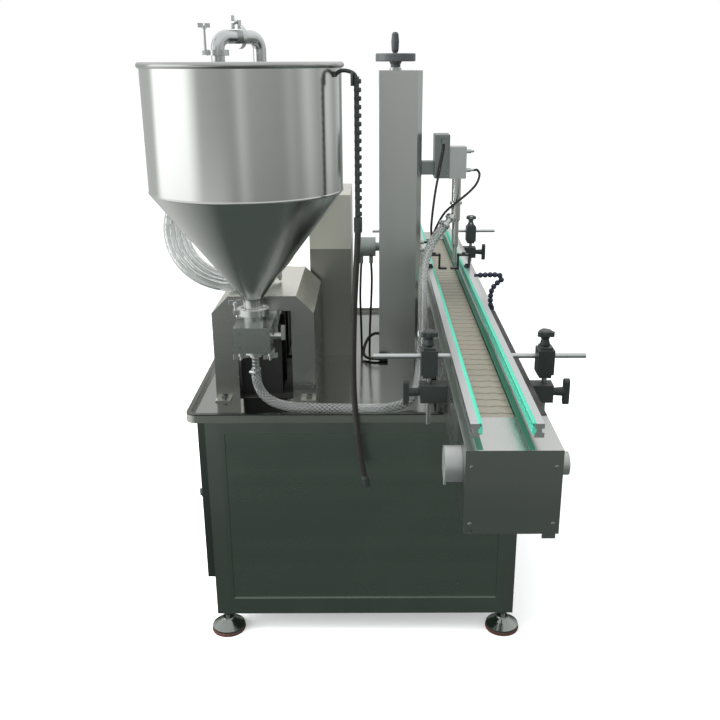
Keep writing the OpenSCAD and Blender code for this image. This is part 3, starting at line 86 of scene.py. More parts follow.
@dataclass(frozen=True)
class Finish:
    """One surface finish: its colour, gloss, grain, wear and dust.

    Attributes:
        name: Name of the material.
        slot: Material slot of the record that it stands for.
        colour: Linear base colour.
        metallic: Metallic value of the shader.
        rough: Middle of the roughness.
        spread: How far the grain moves the roughness each way.
        grain: Way of the fine lines.
        depth: Strength of the grain's bump.
        shade: How far the grain moves the colour each way.
        edge: Radius in millimetres over which edges are rounded off in the normal.
        worn: Colour of rubbed edges.
        wear: Share of the worn colour on edges.
        smear: How far wipe marks raise the roughness.
        dust: Share of dust on faces that look up.
        coat: Weight of a clear coat.
        lean: Anisotropy of the gloss.
    """

    name: str
    slot: str
    colour: Colour
    metallic: float = 1.0
    rough: float = 0.28
    spread: float = 0.08
    grain: Grain = Grain.ALL_WAYS
    depth: float = 0.08
    shade: float = 0.06
    edge: float = 0.8
    worn: Colour = (0.9, 0.9, 0.9)
    wear: float = 0.25
    smear: float = 0.08
    dust: float = 0.04
    coat: float = 0.0
    lean: float = 0.0


@dataclass(frozen=True)
class Moulded(Finish):
    """A finish of plastic, rubber or paint, with no metal in it."""

    metallic: float = 0.0


# Brushed and folded sheet
STEEL_Y = Finish("brushed_steel_lengthwise", "steel", (0.60, 0.615, 0.60), rough=0.27, spread=0.012,
                 grain=Grain.ALONG_Y, depth=0.012, shade=0.012, edge=0.4, wear=0.04, smear=0.02, lean=0.4)
STEEL_X = replace(STEEL_Y, name="brushed_steel_across", grain=Grain.ALONG_X, depth=0.015)
STEEL_Z = replace(STEEL_Y, name="brushed_steel_upright", rough=0.28, grain=Grain.ALONG_Z)
# Painted light: a pale copy of the upright steel for the upper control box.
LIT_UPPER_STEEL = replace(STEEL_Z, name="painted_light_upper_steel", colour=(0.86, 0.855, 0.755), lean=0.0)
HEAD_STEEL = replace(LIT_UPPER_STEEL, name="shaded_head_steel", colour=(0.285, 0.32, 0.31), wear=0.06)
# Painted shade: a darker copy of the same steel for the lower control box.
SHADED_LOWER_STEEL = replace(LIT_UPPER_STEEL, name="painted_shade_lower_steel", colour=(0.34, 0.345, 0.31), rough=0.3,
                     spread=0.015, depth=0.015, shade=0.015, smear=0.03)
# Painted shade: a darker copy of the steel for the end boxes' sides.
SHADED_BOX_STEEL = replace(SHADED_LOWER_STEEL, name="painted_shade_box_steel", colour=(0.36, 0.385, 0.36), grain=Grain.ALONG_X,
                    edge=0.6, wear=0.1)
# Painted light: a pale copy of the steel for the tunnel cover's tops and shoulders.
LIT_TOP_STEEL = replace(STEEL_Y, name="painted_light_fold_steel", colour=(0.84, 0.835, 0.75), depth=0.01, edge=0.5,
                     wear=0.06, lean=0.0)
COVER_STEEL = replace(LIT_TOP_STEEL, name="folded_cover_steel", colour=(0.42, 0.425, 0.405), rough=0.26,
                      grain=Grain.ALONG_X)
ROLLED_STEEL = replace(STEEL_Y, name="rolled_rim_steel", colour=(0.5, 0.51, 0.5), rough=0.2, spread=0.01,
                       grain=Grain.ROUND_Z, depth=0.006, shade=0.01, lean=0.0)
SPUN_STEEL = replace(ROLLED_STEEL, name="spun_hopper_steel", colour=(0.67, 0.68, 0.665), rough=0.19,
                     spread=0.008, shade=0.008, smear=0.015, lean=0.6)
RIM_STEEL = Finish("folded_tray_rim", "steel", (0.60, 0.615, 0.56), rough=0.24, spread=0.02,
                   grain=Grain.ALONG_X, depth=0.012, shade=0.03, edge=0.8, wear=0.1, smear=0.03)
# Painted shade: a dark line along the top of the tray's rim.
LIP_SHADE_STEEL = replace(RIM_STEEL, name="painted_shade_tray_lip", colour=(0.11, 0.115, 0.105), worn=(0.4, 0.4, 0.38),
                    wear=0.2)
TRAY_STEEL = replace(RIM_STEEL, name="polished_tray_steel", colour=(0.29, 0.30, 0.28), rough=0.12, edge=0.6,
                     wear=0.06, smear=0.05, dust=0.03)
CABINET_STEEL = Finish("dark_cabinet_sheet", "cabinet_steel", (0.39, 0.445, 0.395), rough=0.26,
                       spread=0.012, grain=Grain.ALONG_X, depth=0.008, shade=0.012, edge=0.5,
                       worn=(0.7, 0.73, 0.7), wear=0.1, smear=0.03)
DOOR_STEEL = replace(CABINET_STEEL, name="dark_door_sheet", colour=(0.21, 0.24, 0.225), rough=0.28,
                     grain=Grain.ALONG_Z, worn=(0.6, 0.63, 0.6))
FRAME_STEEL = replace(CABINET_STEEL, name="dark_frame_tube", colour=(0.37, 0.405, 0.37), rough=0.3,
                      spread=0.015, grain=Grain.ALONG_Z, edge=0.8, wear=0.12)

# Turned, drawn and cast metal
BRIGHT_STEEL = Finish("turned_bright_steel", "bright_steel", (0.66, 0.675, 0.66), rough=0.17, spread=0.04,
                      depth=0.03, shade=0.04, edge=0.5, wear=0.1, smear=0.04)
CHROME = Finish("chromed_rod", "bright_steel", (0.76, 0.77, 0.77), rough=0.1, spread=0.03, depth=0.015,
                shade=0.03, edge=0.5, wear=0.1, smear=0.03)
ROD_STEEL = replace(CHROME, name="ground_rod_steel", colour=(0.5, 0.51, 0.51), rough=0.17)
PIPE_STEEL = replace(CHROME, name="bent_pipe_steel", colour=(0.66, 0.68, 0.68), rough=0.2, spread=0.02,
                     depth=0.02, edge=0.4, wear=0.06)
VALVE_STEEL = replace(PIPE_STEEL, name="machined_valve_steel", colour=(0.40, 0.43, 0.41), rough=0.26,
                      grain=Grain.ALONG_X, edge=0.6, wear=0.15)
DOME_STEEL = replace(PIPE_STEEL, name="pressed_foot_steel", colour=(0.32, 0.345, 0.325), rough=0.16,
                     edge=0.5, wear=0.1, smear=0.04)
SCREW_STEEL = Finish("dull_screw_steel", "bright_steel", (0.33, 0.345, 0.34), rough=0.42, spread=0.04,
                     depth=0.05, edge=0.4, wear=0.2)
ALUMINIUM = Finish("anodised_aluminium", "aluminium", (0.68, 0.70, 0.70), rough=0.33, spread=0.05,
                   grain=Grain.ALONG_Y, depth=0.04, shade=0.04, edge=0.6, wear=0.15, smear=0.04)
CAST_METAL = Finish("grey_cast_metal", "aluminium", (0.30, 0.32, 0.32), rough=0.38, depth=0.12, shade=0.08,
                    edge=1.2, worn=(0.6, 0.61, 0.6), wear=0.35)
REGULATOR_GREY = replace(CAST_METAL, name="grey_regulator_casting", colour=(0.34, 0.38, 0.37), metallic=0.8,
                         rough=0.36, spread=0.06, worn=(0.5, 0.51, 0.5), wear=0.3)
PALE_CASTING = replace(REGULATOR_GREY, name="pale_cast_housing", colour=(0.46, 0.475, 0.465), rough=0.4,
                       depth=0.15, edge=1.4, worn=(0.9, 0.9, 0.9))
WHEEL_GREY = replace(REGULATOR_GREY, name="grey_wheel_paint", colour=(0.085, 0.093, 0.097), metallic=0.35,
                     spread=0.05, depth=0.1, shade=0.1, worn=(0.45, 0.46, 0.46))

# Plastic, rubber and paint, with painted shade on the pump cradle
# Painted shade: black on the steel pump cradle, for the shade inside the tunnel.
CRADLE_SHADE_BLACK = Moulded("painted_shade_cradle_black", "steel", (0.018, 0.019, 0.018), rough=0.45, depth=0.1,
                       shade=0.15, worn=(0.2, 0.2, 0.2), wear=0.3)
GRIP_PLASTIC = Moulded("grey_grip_plastic", "black_plastic", (0.045, 0.05, 0.052), rough=0.42, spread=0.05,
                       depth=0.15, shade=0.15, edge=1.4, worn=(0.15, 0.16, 0.16), wear=0.4)
BLACK_PLASTIC = replace(GRIP_PLASTIC, name="moulded_black_plastic", colour=(0.018, 0.024, 0.023),
                        rough=0.40, shade=0.2, worn=(0.10, 0.11, 0.11), wear=0.5, dust=0.06)
CABLE_BLACK = Moulded("cable_jacket", "black_plastic", (0.016, 0.0145, 0.013), rough=0.46, depth=0.1,
                      shade=0.2, edge=0.3, worn=(0.08, 0.08, 0.08), wear=0.3)
GREEN_SLIDE = Moulded("green_rail_plastic", "green_plastic", (0.055, 0.42, 0.29), rough=0.38,
                      grain=Grain.ALONG_Y, depth=0.1, shade=0.12, worn=(0.4, 0.78, 0.65), wear=0.5,
                      dust=0.03)
GREEN_WEAR = Moulded("green_wear_plastic", "green_plastic", (0.012, 0.13, 0.075), rough=0.42,
                     grain=Grain.ALONG_Y, depth=0.1, shade=0.15, worn=(0.2, 0.45, 0.35), wear=0.4,
                     dust=0.05)
SLAT_PLASTIC = Moulded("beige_slat_plastic", "slat_plastic", (0.235, 0.215, 0.170), rough=0.42,
                       grain=Grain.ALONG_Y, depth=0.12, shade=0.16, edge=0.7, worn=(0.40, 0.385, 0.34),
                       wear=0.4)
FOOT_RUBBER = Moulded("red_brown_foot_rubber", "foot_rubber", (0.075, 0.029, 0.019), rough=0.62, depth=0.3,
                      shade=0.2, edge=1.5, worn=(0.3, 0.16, 0.12), wear=0.5, dust=0.12)
BRAID_YARN = Moulded("white_braid_yarn", "clear_hose", (0.72, 0.735, 0.72), rough=0.7, depth=0.2,
                     shade=0.08, edge=0.1, wear=0.1)
SEAL_RUBBER = Moulded("black_seal_rubber", "seal_rubber", (0.016, 0.016, 0.016), rough=0.6, depth=0.2,
                      shade=0.2, worn=(0.08, 0.08, 0.08), wear=0.2, dust=0.1)
RED_PLASTIC = Moulded("red_button_plastic", "red_plastic", (0.52, 0.02, 0.014), rough=0.3, depth=0.06,
                      shade=0.08, worn=(0.8, 0.25, 0.2), wear=0.3, coat=0.3)
YELLOW_PLASTIC = Moulded("yellow_collar_plastic", "black_plastic", (0.62, 0.42, 0.02), rough=0.4,
                         shade=0.08, worn=(0.8, 0.68, 0.35), wear=0.3)
BLUE_PLASTIC = Moulded("dark_blue_joint_plastic", "blue_plastic", (0.014, 0.018, 0.036), rough=0.34,
                       depth=0.1, shade=0.15, edge=0.5, worn=(0.1, 0.11, 0.16), wear=0.5)


class Graph:
    """Small helper that adds nodes to a node tree and links them."""

    def __init__(self, tree: NodeTree) -> None:
        """Wraps a tree, with its first nodes removed."""
        self.tree = tree
        tree.nodes.clear()

    def feed(self, socket: NodeSocket, value: object) -> None:
        """Links a socket to another socket, or sets its value."""
        if isinstance(value, NodeSocket):
            self.tree.links.new(value, socket)
        else:
            socket.default_value = value

    def add(self, kind: str, inputs: dict | None = None, **settings: object) -> Node:
        """Adds one node.

        Args:
            kind: Blender's name of the node type.
            inputs: Values or sockets for its inputs, by name or number.
            settings: Other properties of the node.

        Returns:
            The new node.
        """
        node = self.tree.nodes.new(kind)
        for key, value in settings.items():
            setattr(node, key, value)
        for key, value in (inputs or {}).items():
            self.feed(node.inputs[key], value)
        return node

    def math(self, operation: str, a: object, b: object = 0.0, clamp: bool = False) -> NodeSocket:
        """Adds a Math node and returns its output."""
        return self.add("ShaderNodeMath", {0: a, 1: b}, operation=operation, use_clamp=clamp).outputs[0]

    def vector(self, operation: str, a: object, b: object = (0.0, 0.0, 0.0)) -> NodeSocket:
        """Adds a Vector Math node and returns its output."""
        node = self.add("ShaderNodeVectorMath", {0: a, 1: b}, operation=operation)
        return node.outputs["Value" if operation in ("LENGTH", "DOT_PRODUCT") else "Vector"]

    def spread(self, value: object, low: float, high: float, to_low: float = 0.0,
               to_high: float = 1.0) -> NodeSocket:
        """Maps a value from one range to another and returns the output."""
        return self.add("ShaderNodeMapRange", {0: value, 1: low, 2: high, 3: to_low, 4: to_high}).outputs[0]

    def tint(self, share: object, a: object, b: object) -> NodeSocket:
        """Mixes two colours and returns the output."""
        return self.add("ShaderNodeMix", {0: share, 6: a, 7: b}, data_type="RGBA").outputs[2]

    def blend(self, share: object, a: object, b: object) -> NodeSocket:
        """Mixes two values and returns the output."""
        return self.add("ShaderNodeMix", {0: share, 2: a, 3: b}, data_type="FLOAT").outputs[0]

    def noise(self, where: object, scale: object, detail: float, distortion: float = 0.0) -> NodeSocket:
        """Adds a noise texture and returns its value."""
        return self.add("ShaderNodeTexNoise", {"Vector": where, "Scale": scale, "Detail": detail,
                                               "Distortion": distortion}).outputs[0]

    def where(self) -> NodeSocket:
        """Gives the piece's own coordinates."""
        return self.add("ShaderNodeTexCoord").outputs["Object"]

    def upward(self) -> NodeSocket:
        """Gives how far the surface looks up."""
        normal = self.add("ShaderNodeNewGeometry").outputs["Normal"]
        return self.add("ShaderNodeSeparateXYZ", {0: normal}).outputs["Z"]


def rgba(colour: Colour, gain: float = 1.0) -> tuple[float, float, float, float]:
    """Gives a colour as four numbers, scaled by gain and held to 1."""
    return (*(min(1.0, c * gain) for c in colour), 1.0)


class Effects:
    """Shader node groups that the finishes share, each built once."""

    def __init__(self) -> None:
        """Builds the groups."""
        self.brushing = self._brushing()
        self.smears = self._smears()
        self.edges = self._edges()
        self.dust = self._dust()

    @staticmethod
    def _group(name: str, inputs: dict[str, str], outputs: dict[str, str]) -> tuple[Graph, Node, Node]:
        """Starts a group.

        Args:
            name: Name of the group.
            inputs: Socket types of its inputs by name.
            outputs: Socket types of its outputs by name.

        Returns:
            The graph with its input and output nodes.
        """
        tree = bpy.data.node_groups.new(name, "ShaderNodeTree")
        for way, sockets in (("INPUT", inputs), ("OUTPUT", outputs)):
            for socket, kind in sockets.items():
                tree.interface.new_socket(socket, in_out=way, socket_type=kind)
        graph = Graph(tree)
        return graph, graph.add("NodeGroupInput"), graph.add("NodeGroupOutput")

    def _brushing(self) -> NodeTree:
        """Makes fine lines or grain in the part's own coordinates."""
        g, start, end = self._group("fine_grain", {"Cycles": "NodeSocketVector"},
                                    {"Height": "NodeSocketFloat", "Streak": "NodeSocketFloat"})
        fine = g.vector("MULTIPLY", g.where(), start.outputs["Cycles"])
        broad = g.vector("MULTIPLY", fine, (0.03, 0.03, 0.03))
        g.feed(end.inputs["Height"], g.noise(fine, 1.0, 3.0))
        g.feed(end.inputs["Streak"], g.spread(g.noise(broad, 1.0, 2.0), 0.3, 0.7))
        return g.tree

    def _smears(self) -> NodeTree:
        """Makes large soft wipe marks and prints."""
        g, start, end = self._group("wipe_marks", {"Cycles": "NodeSocketFloat"}, {"Mask": "NodeSocketFloat"})
        marks = g.noise(g.where(), start.outputs["Cycles"], 4.0, 1.2)
        g.feed(end.inputs["Mask"], g.spread(marks, 0.42, 0.68))
        return g.tree

    def _edges(self) -> NodeTree:
        """Rounds edges off in the normal and marks where they are rubbed."""
        g, start, end = self._group("rubbed_edges", {"Radius": "NodeSocketFloat"},
                                    {"Mask": "NodeSocketFloat", "Normal": "NodeSocketVector"})
        bevel = g.add("ShaderNodeBevel", {"Radius": start.outputs["Radius"]}, samples=4).outputs[0]
        true_way = g.add("ShaderNodeNewGeometry").outputs["Normal"]
        bent = g.math("SUBTRACT", 1.0, g.vector("DOT_PRODUCT", bevel, true_way))
        patches = g.spread(g.noise(g.where(), 60.0, 3.0), 0.35, 0.65)
        g.feed(end.inputs["Mask"], g.math("MULTIPLY", g.spread(bent, 0.01, 0.12), patches, clamp=True))
        g.feed(end.inputs["Normal"], bevel)
        return g.tree

    def _dust(self) -> NodeTree:
        """Lets dust settle in patches on faces that look up."""
        g, start, end = self._group("settled_dust", {"Amount": "NodeSocketFloat"},
                                    {"Mask": "NodeSocketFloat"})
        patches = g.spread(g.noise(g.where(), 14.0, 6.0), 0.3, 0.75)
        lying = g.math("MULTIPLY", g.spread(g.upward(), 0.55, 1.0), patches)
        g.feed(end.inputs["Mask"], g.math("MULTIPLY", lying, start.outputs["Amount"], clamp=True))
        return g.tree


Mask = Callable[[Graph], NodeSocket]


def near_posts(posts: Sequence[Pair], radius: float, fade: float = 0.05) -> Mask:
    """Gives a mask round upright posts.

    Args:
        posts: X and Y of the posts.
        radius: How far it reaches from a post's middle.
        fade: How far it fades out.

    Returns:
        What adds the mask.
    """
    def build(g: Graph) -> NodeSocket:
        """Adds the distance to the nearest post."""
        where = g.where()
        near: object = 1.0
        for x, y in posts:
            flat = g.vector("MULTIPLY", g.vector("SUBTRACT", where, (x * MM, y * MM, 0)), (1, 1, 0))
            near = g.math("MINIMUM", near, g.vector("LENGTH", flat))
        return g.spread(near, radius * MM, (radius + fade) * MM, 1.0, 0.0)
    return build


def above(height: float, fade: float = 0.5) -> Mask:
    """Gives a mask that starts at a height and fades in."""
    return lambda g: g.spread(g.add("ShaderNodeSeparateXYZ", {0: g.where()}).outputs["Z"], height * MM,
                              (height + fade) * MM)


def facing_up(low: float, high: float) -> Mask:
    """Gives a mask on faces that look up, by the upward share of the normal."""
    return lambda g: g.spread(g.upward(), low, high)


class FinishShop:
    """Makes each finish's material once and puts it on pieces and nodes."""

    DUST = (0.42, 0.41, 0.38, 1.0)
    WIPES = 3.0
    GRAIN_HEIGHT = 0.0006

    def __init__(self) -> None:
        """Starts with the shared effects and no materials."""
        self.effects = Effects()
        self.made: dict[str, Material] = {}

    @staticmethod
    def _place(g: Graph, tree: NodeTree, **inputs: object) -> Node:
        """Places one of the shared groups in a material."""
        return g.add("ShaderNodeGroup", inputs, node_tree=tree)

    def _make(self, name: str, shade: Callable[[Graph], Node]) -> Material:
        """Gives the material of a name, built at its first use.

        Args:
            name: Name of the material.
            shade: Adds its nodes and gives its shader.

        Returns:
            The material.
        """
        if name not in self.made:
            material = bpy.data.materials.new(name)
            material.use_nodes = True
            g = Graph(material.node_tree)
            g.add("ShaderNodeOutputMaterial", {"Surface": shade(g).outputs[0]})
            self.made[name] = material
        return self.made[name]

    def _channels(self, g: Graph, finish: Finish) -> tuple[NodeSocket, NodeSocket, NodeSocket]:
        """Builds what a finish feeds to its shader.

        Args:
            g: Graph of the material.
            finish: Finish that is built.

        Returns:
            Its colour, roughness and normal.
        """
        grain = self._place(g, self.effects.brushing, Cycles=finish.grain.value)
        smear = self._place(g, self.effects.smears, Cycles=self.WIPES).outputs["Mask"]
        edge = self._place(g, self.effects.edges, Radius=finish.edge * MM)
        dust = self._place(g, self.effects.dust, Amount=finish.dust).outputs["Mask"]
        streak = grain.outputs["Streak"]
        colour = g.tint(streak, rgba(finish.colour, 1 - finish.shade), rgba(finish.colour, 1 + finish.shade))
        rubbed = g.math("MULTIPLY", edge.outputs["Mask"], finish.wear, clamp=True)
        colour = g.tint(rubbed, colour, rgba(finish.worn))
        colour = g.tint(dust, colour, self.DUST)
        gloss = g.spread(streak, 0.0, 1.0, finish.rough - finish.spread, finish.rough + finish.spread)
        gloss = g.math("ADD", gloss, g.math("MULTIPLY", smear, finish.smear))
        gloss = g.math("ADD", gloss, g.math("MULTIPLY", dust, 0.5), clamp=True)
        bump = g.add("ShaderNodeBump", {"Strength": finish.depth, "Distance": self.GRAIN_HEIGHT,
                                        "Height": grain.outputs["Height"], "Normal": edge.outputs["Normal"]})
        return colour, gloss, bump.outputs[0]

    def material(self, finish: Finish) -> Material:
        """Gives a finish's material."""
        return self._make(finish.name, lambda g: self._plain(g, finish))

    def _plain(self, g: Graph, finish: Finish) -> Node:
        """Adds the shader of one finish, with upright gloss on turned pieces.

        Args:
            g: Graph of the material.
            finish: Finish that is built.

        Returns:
            The shader.
        """
        colour, gloss, normal = self._channels(g, finish)
        shader = g.add("ShaderNodeBsdfPrincipled", {"Base Color": colour, "Roughness": gloss,
                                                    "Metallic": finish.metallic, "Coat Weight": finish.coat,
                                                    "Anisotropic": finish.lean, "Normal": normal})
        if finish.grain is Grain.ROUND_Z:
            way = g.add("ShaderNodeTangent", direction_type="RADIAL", axis="Z")
            g.feed(shader.inputs["Tangent"], way.outputs[0])
            shader.inputs["Anisotropic Rotation"].default_value = 0.25
        return shader

    def _layered(self, g: Graph, base: Finish, layers: Sequence[tuple[Finish, Mask]]) -> Node:
        """Adds the shader of more than one finish, each on its own part of the piece.

        Args:
            g: Graph of the material.
            base: Finish that shows outside every mask.
            layers: Other finishes, each with what adds its mask, the last on top.

        Returns:
            The shader.
        """
        colour, gloss, normal = self._channels(g, base)
        metal: object = base.metallic
        for finish, mask in layers:
            share = mask(g)
            over = self._channels(g, finish)
            colour = g.tint(share, colour, over[0])
            gloss = g.blend(share, gloss, over[1])
            if metal != finish.metallic:
                metal = g.blend(share, metal, finish.metallic)
        return g.add("ShaderNodeBsdfPrincipled", {"Base Color": colour, "Roughness": gloss, "Metallic": metal,
                                                  "Normal": normal})

    def clear_hose(self) -> Material:
        """Gives the clear hose plastic, slightly milky, with bloom and a faint grain."""
        return self._make("clear_hose_plastic", self._hose)

    def _hose(self, g: Graph) -> Node:
        """Adds the shader of the clear hose."""
        smear = self._place(g, self.effects.smears, Cycles=30.0).outputs["Mask"]
        grain = self._place(g, self.effects.brushing, Cycles=Grain.ALL_WAYS.value).outputs["Height"]
        colour = g.tint(smear, (0.83, 0.845, 0.84, 1.0), (0.72, 0.745, 0.735, 1.0))
        bump = g.add("ShaderNodeBump", {"Strength": 0.05, "Distance": MM, "Height": grain})
        return g.add("ShaderNodeBsdfPrincipled", {"Base Color": colour, "IOR": 1.40,
                                                  "Roughness": g.spread(smear, 0.0, 1.0, 0.05, 0.16),
                                                  "Transmission Weight": 0.96, "Coat Weight": 0.2,
                                                  "Normal": bump.outputs[0]})

    def screen_glass(self) -> Material:
        """Gives the switched-off display: dark glass with faint prints."""
        return self._make("dark_screen_glass", self._glass)

    def _glass(self, g: Graph) -> Node:
        """Adds the shader of the display."""
        smear = self._place(g, self.effects.smears, Cycles=22.0).outputs["Mask"]
        colour = g.tint(smear, (0.012, 0.015, 0.018, 1.0), (0.02, 0.024, 0.027, 1.0))
        return g.add("ShaderNodeBsdfPrincipled", {"Base Color": colour, "Coat Weight": 0.6,
                                                  "Roughness": g.spread(smear, 0.0, 1.0, 0.05, 0.22)})

    def dress(self, finish: Finish, *nodes: str) -> None:
        """Gives CAD nodes a finish."""
        for name in nodes:
            self._paint(name, self.material(finish))

    def dress_in_parts(self, node: str, name: str, base: Finish, *layers: tuple[Finish, Mask]) -> None:
        """Gives a CAD node a named material of a base finish and others over it, each in its mask."""
        self._paint(node, self._make(name, lambda g: self._layered(g, base, layers)))

    @staticmethod
    def _paint(node: str, material: Material) -> None:
        """Puts a material in every slot of a CAD node."""
        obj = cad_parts[node]
        if not obj.material_slots:
            obj.data.materials.append(material)
        for slot in obj.material_slots:
            slot.material = material
        LOG.info("node %s: %s", node, material.name)


def smooth(points: Sequence[Point], steps: int) -> list[Vector]:
    """Runs an even curve through points.

    Args:
        points: Places that the curve passes through.
        steps: Short pieces between each two.

    Returns:
        The points of the curve, ends included.
    """
    p = [Vector(q) for q in points]
    last = len(p) - 1
    line: list[Vector] = []
    for i in range(last):
        a, b, c, d = p[max(i - 1, 0)], p[i], p[i + 1], p[min(i + 2, last)]
        for k in range(steps):
            t = k / steps
            line.append(0.5 * (2 * b + (c - a) * t + (2 * a - 5 * b + 4 * c - d) * t ** 2
                               + (3 * b - a - 3 * c + d) * t ** 3))
    return line + [p[last]]


def even(points: Sequence[Vector], step: float) -> list[Vector]:
    """Lays a line of points again at nearly even steps.

    Args:
        points: Points of the line.
        step: Distance between the new points.

    Returns:
        The new points, ends included.
    """
    count = max(2, round(run(points) / step))
    size = run(points) / count
    line, left = [points[0].copy()], size
    for a, b in zip(points, points[1:]):
        span, done = (b - a).length, 0.0
        while span - done >= left and len(line) < count:
            done += left
            line.append(a.lerp(b, done / span))
            left = size
        left -= span - done
    return line + [points[-1].copy()]


def run(points: Sequence[Vector]) -> float:
    """Gives the length of a line of points."""
    return sum((b - a).length for a, b in zip(points, points[1:]))


def place(at: Point, towards: Point = (0, 0, 1), turn: float = 0.0) -> Matrix:
    """Gives the matrix that sets a piece built up along Z somewhere else.

    Args:
        at: Where its origin goes.
        towards: Which way its Z then points.
        turn: Degrees that it is first turned about its own Z.

    Returns:
        The matrix.
    """
    way = Vector((0, 0, 1)).rotation_difference(Vector(towards)).to_matrix().to_4x4()
    return Matrix.Translation(at) @ way @ Matrix.Rotation(math.radians(turn), 4, "Z")


def circle(radius: float, sides: int) -> list[Pair]:
    """Gives the corners of an even polygon."""
    return [(radius * math.cos(2 * math.pi * k / sides), radius * math.sin(2 * math.pi * k / sides))
            for k in range(sides)]


def stations(path: Sequence[Vector]) -> list[tuple[Vector, Vector, Vector]]:
    """Gives a line's points, each with two directions across it that don't twist.

    Args:
        path: Points of the line.

    Returns:
        Point, first and second direction across, for each.
    """
    last = len(path) - 1
    found = []
    across: Vector | None = None
    for i, point in enumerate(path):
        way = (path[min(i + 1, last)] - path[max(i - 1, 0)]).normalized()
        across = way.orthogonal() if across is None else across - way * across.dot(way)
        across = across.normalized()
        found.append((point, across, way.cross(across)))
    return found


BEVEL_ANGLE = 0.6
SHARP_ANGLE = 34.0


class Solid:
    """A mesh that is added to shape by shape, in millimetres."""

    def __init__(self) -> None:
        """Starts empty."""
        self.mesh = bmesh.new()

    def _take(self, part: bmesh.types.BMesh, bevel: float, matrix: Matrix | None) -> "Solid":
        """Rounds a shape's edges, moves it and adds it.

        Args:
            part: The shape, which is used up.
            bevel: Radius of its edges.
            matrix: Where it goes.

        Returns:
            This solid.
        """
        bmesh.ops.recalc_face_normals(part, faces=part.faces)
        if bevel > 0:
            sharp = [edge for edge in part.edges
                     if len(edge.link_faces) == 2 and edge.calc_face_angle(0.0) > BEVEL_ANGLE]
            bmesh.ops.bevel(part, geom=sharp, offset=bevel, segments=2, profile=0.5, affect="EDGES",
                            clamp_overlap=True)
        if matrix is not None:
            part.transform(matrix)
        carrier = bpy.data.meshes.new("carrier")
        part.to_mesh(carrier)
        part.free()
        self.mesh.from_mesh(carrier)
        bpy.data.meshes.remove(carrier)
        return self

    def prism(self, outline: Sequence[Pair], low: float, high: float, bevel: float = 0.8,
              matrix: Matrix | None = None) -> "Solid":
        """Adds an outline drawn in X and Y and pulled up along Z.

        Args:
            outline: Corners of the outline.
            low: Height of its underside.
            high: Height of its top.
            bevel: Radius of its edges.
            matrix: Where it goes.

        Returns:
            This solid.
        """
        part = bmesh.new()
        rings = [[part.verts.new((x, y, z)) for x, y in outline] for z in (low, high)]
        part.faces.new(rings[0])
        part.faces.new(rings[1])
        for k in range(len(outline)):
            j = (k + 1) % len(outline)
            part.faces.new((rings[0][k], rings[0][j], rings[1][j], rings[1][k]))
        return self._take(part, bevel, matrix)

    def box(self, low: Point, high: Point, bevel: float = 0.8, matrix: Matrix | None = None) -> "Solid":
        """Adds a block between two corners."""
        outline = [(low[0], low[1]), (high[0], low[1]), (high[0], high[1]), (low[0], high[1])]
        return self.prism(outline, low[2], high[2], bevel, matrix)

    def rod(self, a: Point, b: Point, radius: float, sides: int = 32, bevel: float = 0.6) -> "Solid":
        """Adds a round bar from one point to another."""
        way = Vector(b) - Vector(a)
        return self.prism(circle(radius, sides), 0, way.length, bevel, place(a, way))

    def lathe(self, profile: Sequence[Pair], segments: int = 64, matrix: Matrix | None = None) -> "Solid":
        """Adds a closed outline of radius and height turned about Z.

        Args:
            profile: Corners of the outline.
            segments: Pieces round the turn.
            matrix: Where it goes.

        Returns:
            This solid.
        """
        part = bmesh.new()
        rings = []
        for x, y in circle(1.0, segments):
            rings.append([part.verts.new((r * x, r * y, z)) for r, z in profile])
        count = len(profile)
        for k in range(segments):
            here, there = rings[k], rings[(k + 1) % segments]
            for i in range(count):
                j = (i + 1) % count
                if profile[i][0] or profile[j][0]:
                    part.faces.new((here[i], there[i], there[j], here[j]))
        bmesh.ops.remove_doubles(part, verts=part.verts, dist=1e-5)
        return self._take(part, 0, matrix)

    def sweep(self, path: Sequence[Vector], radius: float, sides: int = 20, bore: float = 0.0) -> "Solid":
        """Adds a round tube along a line.

        Args:
            path: Points of its middle.
            radius: Outer radius.
            sides: Corners of its section.
            bore: Inner radius, 0 for a filled cord.

        Returns:
            This solid.
        """
        part = bmesh.new()
        skins = [self._skin(part, path, r, sides) for r in ([radius, bore] if bore else [radius])]
        for end in (0, -1):
            if bore:
                for k in range(sides):
                    j = (k + 1) % sides
                    part.faces.new((skins[0][end][k], skins[0][end][j], skins[1][end][j], skins[1][end][k]))
            else:
                part.faces.new(skins[0][end])
        return self._take(part, 0, None)

    @staticmethod
    def _skin(part: bmesh.types.BMesh, path: Sequence[Vector], radius: float, sides: int) -> list[list]:
        """Lays rings along a line and joins them.

        Args:
            part: Mesh that they go in.
            path: Points of the middle.
            radius: Radius of the rings.
            sides: Corners of each ring.

        Returns:
            The rings.
        """
        rings = [[part.verts.new(point + across * x + up * y) for x, y in circle(radius, sides)]
                 for point, across, up in stations(path)]
        for one, two in zip(rings, rings[1:]):
            for k in range(sides):
                j = (k + 1) % sides
                part.faces.new((one[k], one[j], two[j], two[k]))
        return rings

    def finish(self, name: str, material: Material, slot: str, body: Body | None,
               sharp: float = SHARP_ANGLE) -> Object:
        """Turns the mesh into a piece.

        Args:
            name: Name of the piece.
            material: Its material.
            slot: Material slot of the record; not used.
            body: Body that it rides on, or None to leave it on no body.
            sharp: Degrees above which an edge stays crisp.

        Returns:
            The object.
        """
        self.mesh.transform(Matrix.Scale(MM, 4))
        data = bpy.data.meshes.new(name)
        self.mesh.to_mesh(data)
        self.mesh.free()
        data.shade_smooth()
        data.set_sharp_from_angle(angle=math.radians(sharp))
        data.materials.append(material)
        obj = bpy.data.objects.new(name, data)
        bpy.context.scene.collection.objects.link(obj)
        if body is not None:
            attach(obj, body.value)
        LOG.info("piece %s: %d faces", name, len(data.polygons))
        return obj


